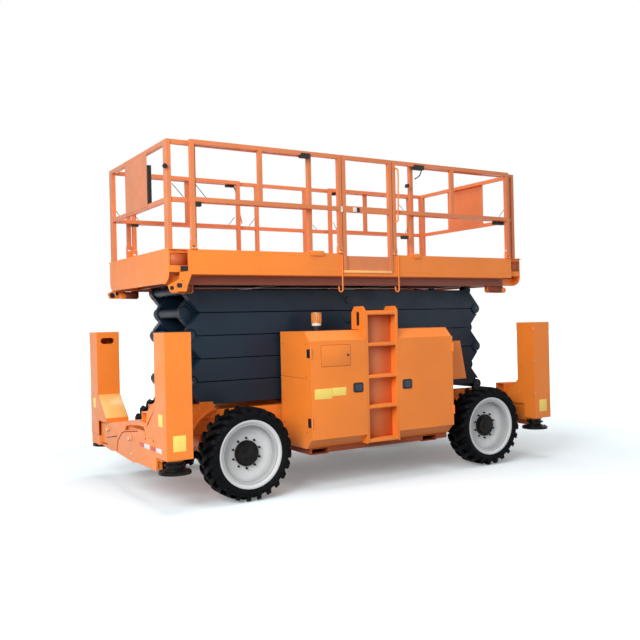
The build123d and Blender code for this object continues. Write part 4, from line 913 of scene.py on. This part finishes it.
GATE_FITTINGS = [  # (piece, material, body, bevel, (x0, x1, y0, y1, z0, z1))
    ("gate_striker", "zinc", "near_left_guardrail", 0.002, (-0.351, -0.329, -0.918, -0.911, 2.654, 2.711)),
    ("gate_latch_body", "white_tape", "entry_gate", 0.004, (-0.205, -0.165, -0.922, -0.909, 2.664, 2.708)),
    ("gate_latch_grip", "black_plastic", "entry_gate", 0.004,
     (-0.164, -0.132, -0.920, -0.909, 2.664, 2.708)),
]
RAIL_SHOE = [(-0.842, 2.2535), (-0.900, 2.2535), (-0.903, 2.222), (-0.908, 2.222), (-0.908, 2.270),
             (-0.842, 2.270)]  # (y, z)
PIN_POSTS = [("near_left_guardrail", -1.892), ("near_left_guardrail", -0.355),
             ("near_right_guardrail", 0.305), ("near_right_guardrail", 1.892)]  # (body, x)
POST_Y, POST_PIN_Z = -0.890, 2.335
FOOT_POSTS_X = (-1.888, -0.355, 0.305, 1.888)


def bracket_faces():
    """Maroon faces painted as shade on the roller brackets under the deck, with their bolts."""
    for end, x0, x1 in BRACKETS:
        edge = [(x0 + 0.001, 1.944), (x0 + 0.001, 1.896), (x0 + 0.020, 1.876), (x1 - 0.016, 1.872),
                (x1 - 0.001, 1.888), (x1 - 0.001, 1.944)]
        for side, y, out in BRACKET_FACES:
            name = f"bracket_{end}_{side}_{out}"
            plates(name + "_face", "bracket_shade_maroon", "platform", "y", y, y + out * 0.001, [edge], 0.0002)
            bolts(name + "_bolts", "dark_bolt", "platform",
                  [(x, y, 1.925, "y", 0.009, out) for x in (x0 + 0.10, x1 - 0.04)])


def platform_trim():
    """Catches, straps, stay wires, the gate's fittings and the end knob on the guardrails."""
    for name, body, rows in CATCHES:
        blocks(name, "black_plastic", body, rows, 0.006)
    for name, material, body, radius, points in STRAPS:
        rod(name, points, radius, material, body, smooth=True)
    discs("left_end_knob", "black_plastic", "left_extension", "y",
          [((-2.120, -0.842, 2.971), 0.022, -0.020, 0.005, 32),
           ((-2.120, -0.862, 2.971), 0.014, -0.008, 0.003, 24)])
    for body, y, lines in STAYS:
        for k, (x0, z0, x1, z1) in enumerate(lines):
            rod(f"{body}_stay_{k}", [(x0, y, z0), (x1, y, z1)], 0.0032, "black_plastic", body)
    for name, material, body, bevel, spans in GATE_FITTINGS:
        blocks(name, material, body, [spans], bevel)
    rod("gate_grab_bar", GRAB_BAR, 0.008, "orange_paint", "near_right_guardrail", smooth=True)
    blocks("gate_sill", "sunlit_orange", "platform", [(-0.318, 0.262, -0.9085, -0.894, 2.063, 2.088)], 0.002)
    for end, x0, x1 in (("left", -0.700, -0.545), ("right", 0.545, 0.640)):
        plates(end + "_rail_shoe", "orange_paint", end + "_extension", "x", x0, x1, [RAIL_SHOE], 0.003)


def corner_bay(name, body, end, side):
    """The recessed bay beside an extension deck's corner, as a darker orange sheet painted as its shade,
    with its shadowed edge.
    """
    x0, x1 = span(end, 2.094, 1.932)
    z0, z1 = 2.110, 2.220
    blocks(name + "_bay", "recess_shade_orange", body, [(x0, x1, *span(side, 0.857, 0.8578), z0, z1)], 0.0003)
    y0, y1 = span(side, 0.8578, 0.8584)
    blocks(name + "_bay_edge", "gap_shadow", body,
           [(x0, x1, y0, y1, 2.214, z1), (x0, x0 + 0.005, y0, y1, z0, z1), (x1 - 0.005, x1, y0, y1, z0, z1)],
           0.0002)


def corner_stop(name, side):
    """The dark stop and roller at a left corner of the platform, a dark film painted as the shade in a slot,
    and their bolts.
    """
    stop = Piece()
    stop.block(*span(LEFT, 2.012, 1.926), *span(side, 0.886, 0.8885), 2.060, 2.104, 0.001)
    stop.disc((LEFT * 2.087, side * 0.872, 1.914), "y", 0.026, side * 0.015, 0.003, 40)
    # a dark film painted as the shade inside the slot
    stop.prism(rounded(*span(LEFT, 2.046, 2.002), 1.914, 1.953, 0.008), "y", side * 0.894, side * 0.8955,
               0.0004)
    stop.done(name + "_corner_stops", "black_plastic", "platform")
    bolts(name + "_corner_bolts", "dark_bolt", "platform",
          [(LEFT * 1.995, side * 0.886, 2.017, "y", 0.006, side),
           (LEFT * 1.964, side * 0.886, 2.025, "y", 0.006, side),
           (LEFT * 1.996, side * 0.894, 1.974, "y", 0.005, side)])


def corner_trim():
    """The bays at the extension decks' corners, and the stops at the left ones."""
    for end, side in CORNERS:
        body = "left_extension" if end == LEFT else "right_extension"
        name = f"{body}_{row(side)}"
        corner_bay(name, body, end, side)
        if end == LEFT:
            corner_stop(name, side)


def post_pins():
    """Locking pins through the feet of the near posts."""
    for k, (body, x) in enumerate(PIN_POSTS):
        discs(f"near_post_pin_{k}", "zinc", body, "x",
              [((x - 0.034, POST_Y, POST_PIN_Z), 0.006, 0.068, 0.001, 16)]
              + [((x + way * 0.021, POST_Y, POST_PIN_Z), 0.012, way * 0.005, 0.001, 20) for way in (-1, 1)])


def foot_bolts():
    """Small bolts on the near guardrails' feet."""
    bolts("near_foot_bolts", "zinc", "platform",
          [(x + dx, -0.911, 2.266, "y", 0.005, -1) for x in FOOT_POSTS_X for dx in (-0.014, 0.014)])


# ---------------------------------------------------------------- stage
CAMERA_AT = Vector((-4.5726, -7.3899, 1.6029))
CAMERA_YAW, CAMERA_PITCH, CAMERA_ROLL = radians(31.415), radians(0.019), radians(-1.282)
CAMERA_LENS, CAMERA_SENSOR = 44.52, 36  # in mm
SKY_STRENGTH = (0.40, 1.0)  # on the object, and where it is seen
FLOOR_SIZE = 60
FLOOR_ON_OBJECT, FLOOR_SEEN = (0.30, 0.30, 0.30, 1), (0.82, 0.92, 0.97, 1)
GLOW_REACH, GLOW = (3.5, 9.0), (0.17, 0.90)  # the floor's own glow grows over this distance


def camera():
    """The photograph's view."""
    data = bpy.data.cameras.new("view")
    data.lens, data.sensor_width = CAMERA_LENS, CAMERA_SENSOR
    cam = bpy.data.objects.new("view", data)
    bpy.context.scene.collection.objects.link(cam)
    flat = cos(CAMERA_PITCH)
    forward = Vector((sin(CAMERA_YAW) * flat, cos(CAMERA_YAW) * flat, sin(CAMERA_PITCH)))
    level = Vector((cos(CAMERA_YAW), -sin(CAMERA_YAW), 0))
    up = level.cross(forward)
    c, s = cos(CAMERA_ROLL), sin(CAMERA_ROLL)
    turn = Matrix((level * c + up * s, -level * s + up * c, -forward)).transposed()
    cam.matrix_world = Matrix.Translation(CAMERA_AT) @ turn.to_4x4()
    bpy.context.scene.camera = cam


def area_light(name, at, target, size, watts, colour=(1, 1, 1)):
    data = bpy.data.lights.new(name, "AREA")
    data.shape, data.size, data.energy, data.color = "SQUARE", size, watts, colour
    light = bpy.data.objects.new(name, data)
    bpy.context.scene.collection.objects.link(light)
    turn = (Vector(target) - Vector(at)).to_track_quat("-Z", "Y").to_matrix().to_4x4()
    light.matrix_world = Matrix.Translation(Vector(at)) @ turn


def sky():
    """A white world that lights the object more weakly than it looks."""
    world = bpy.data.worlds.new("studio")
    bpy.context.scene.world = world
    world.use_nodes = True
    background = world.node_tree.nodes["Background"]
    background.inputs["Color"].default_value = (1, 1, 1, 1)
    n = Graph(world.node_tree)
    n.link(n.spread(n.seen_directly(), 0.0, 1.0, *SKY_STRENGTH), background.inputs["Strength"])


def floor():
    """A pale floor that turns white away from the machine, and throws little light back up."""
    n = Surface("floor")
    n.plain(Roughness=0.9, Specular_IOR_Level=0.1, Emission_Color=(1, 1, 1, 1))
    seen = n.seen_directly()
    away = n.add("ShaderNodeVectorMath", operation="LENGTH")
    n.link(n.place, away.inputs[0])
    n.drive("Emission Strength", n.multiply(seen, n.spread(away.outputs["Value"], *GLOW_REACH, *GLOW)))
    n.drive("Base Color", n.mix(seen, FLOOR_ON_OBJECT, FLOOR_SEEN))
    bm = bmesh.new()
    bmesh.ops.create_grid(bm, x_segments=8, y_segments=8, size=FLOOR_SIZE)
    mesh = bpy.data.meshes.new("floor")
    bm.to_mesh(mesh)
    bm.free()
    mesh.materials.append(n.material)
    obj = bpy.data.objects.new("floor", mesh)
    bpy.context.scene.collection.objects.link(obj)


def studio():
    camera()
    sky()
    floor()
    area_light("key", (-7.2, -5.4, 4.6), (-1.2, 0, 1.2), size=4.5, watts=700, colour=(1.0, 0.98, 0.96))
    area_light("fill", (6.0, -8.0, 3.5), (0.5, 0, 1.3), size=5.0, watts=60, colour=(0.95, 0.97, 1.0))
    area_light("top", (0.0, 0.0, 8.5), (0, 0, 0), size=6.0, watts=380)
    bpy.context.scene.view_settings.view_transform = "Standard"


studio()
finish_cad_nodes()
for end, side in CORNERS:
    tyre(end, side)
    hub(end, side)
for end in (LEFT, RIGHT):
    beam_trim(end)
    outrigger_trim(end, NEAR)
    outrigger_trim(end, FAR)
cabinet_trim(NEAR)
cabinet_trim(FAR)
beacon()
ladder_trim()
scissor_trim()
arm_end_bosses()
platform_trim()
bracket_faces()
corner_trim()
post_pins()
foot_bolts()
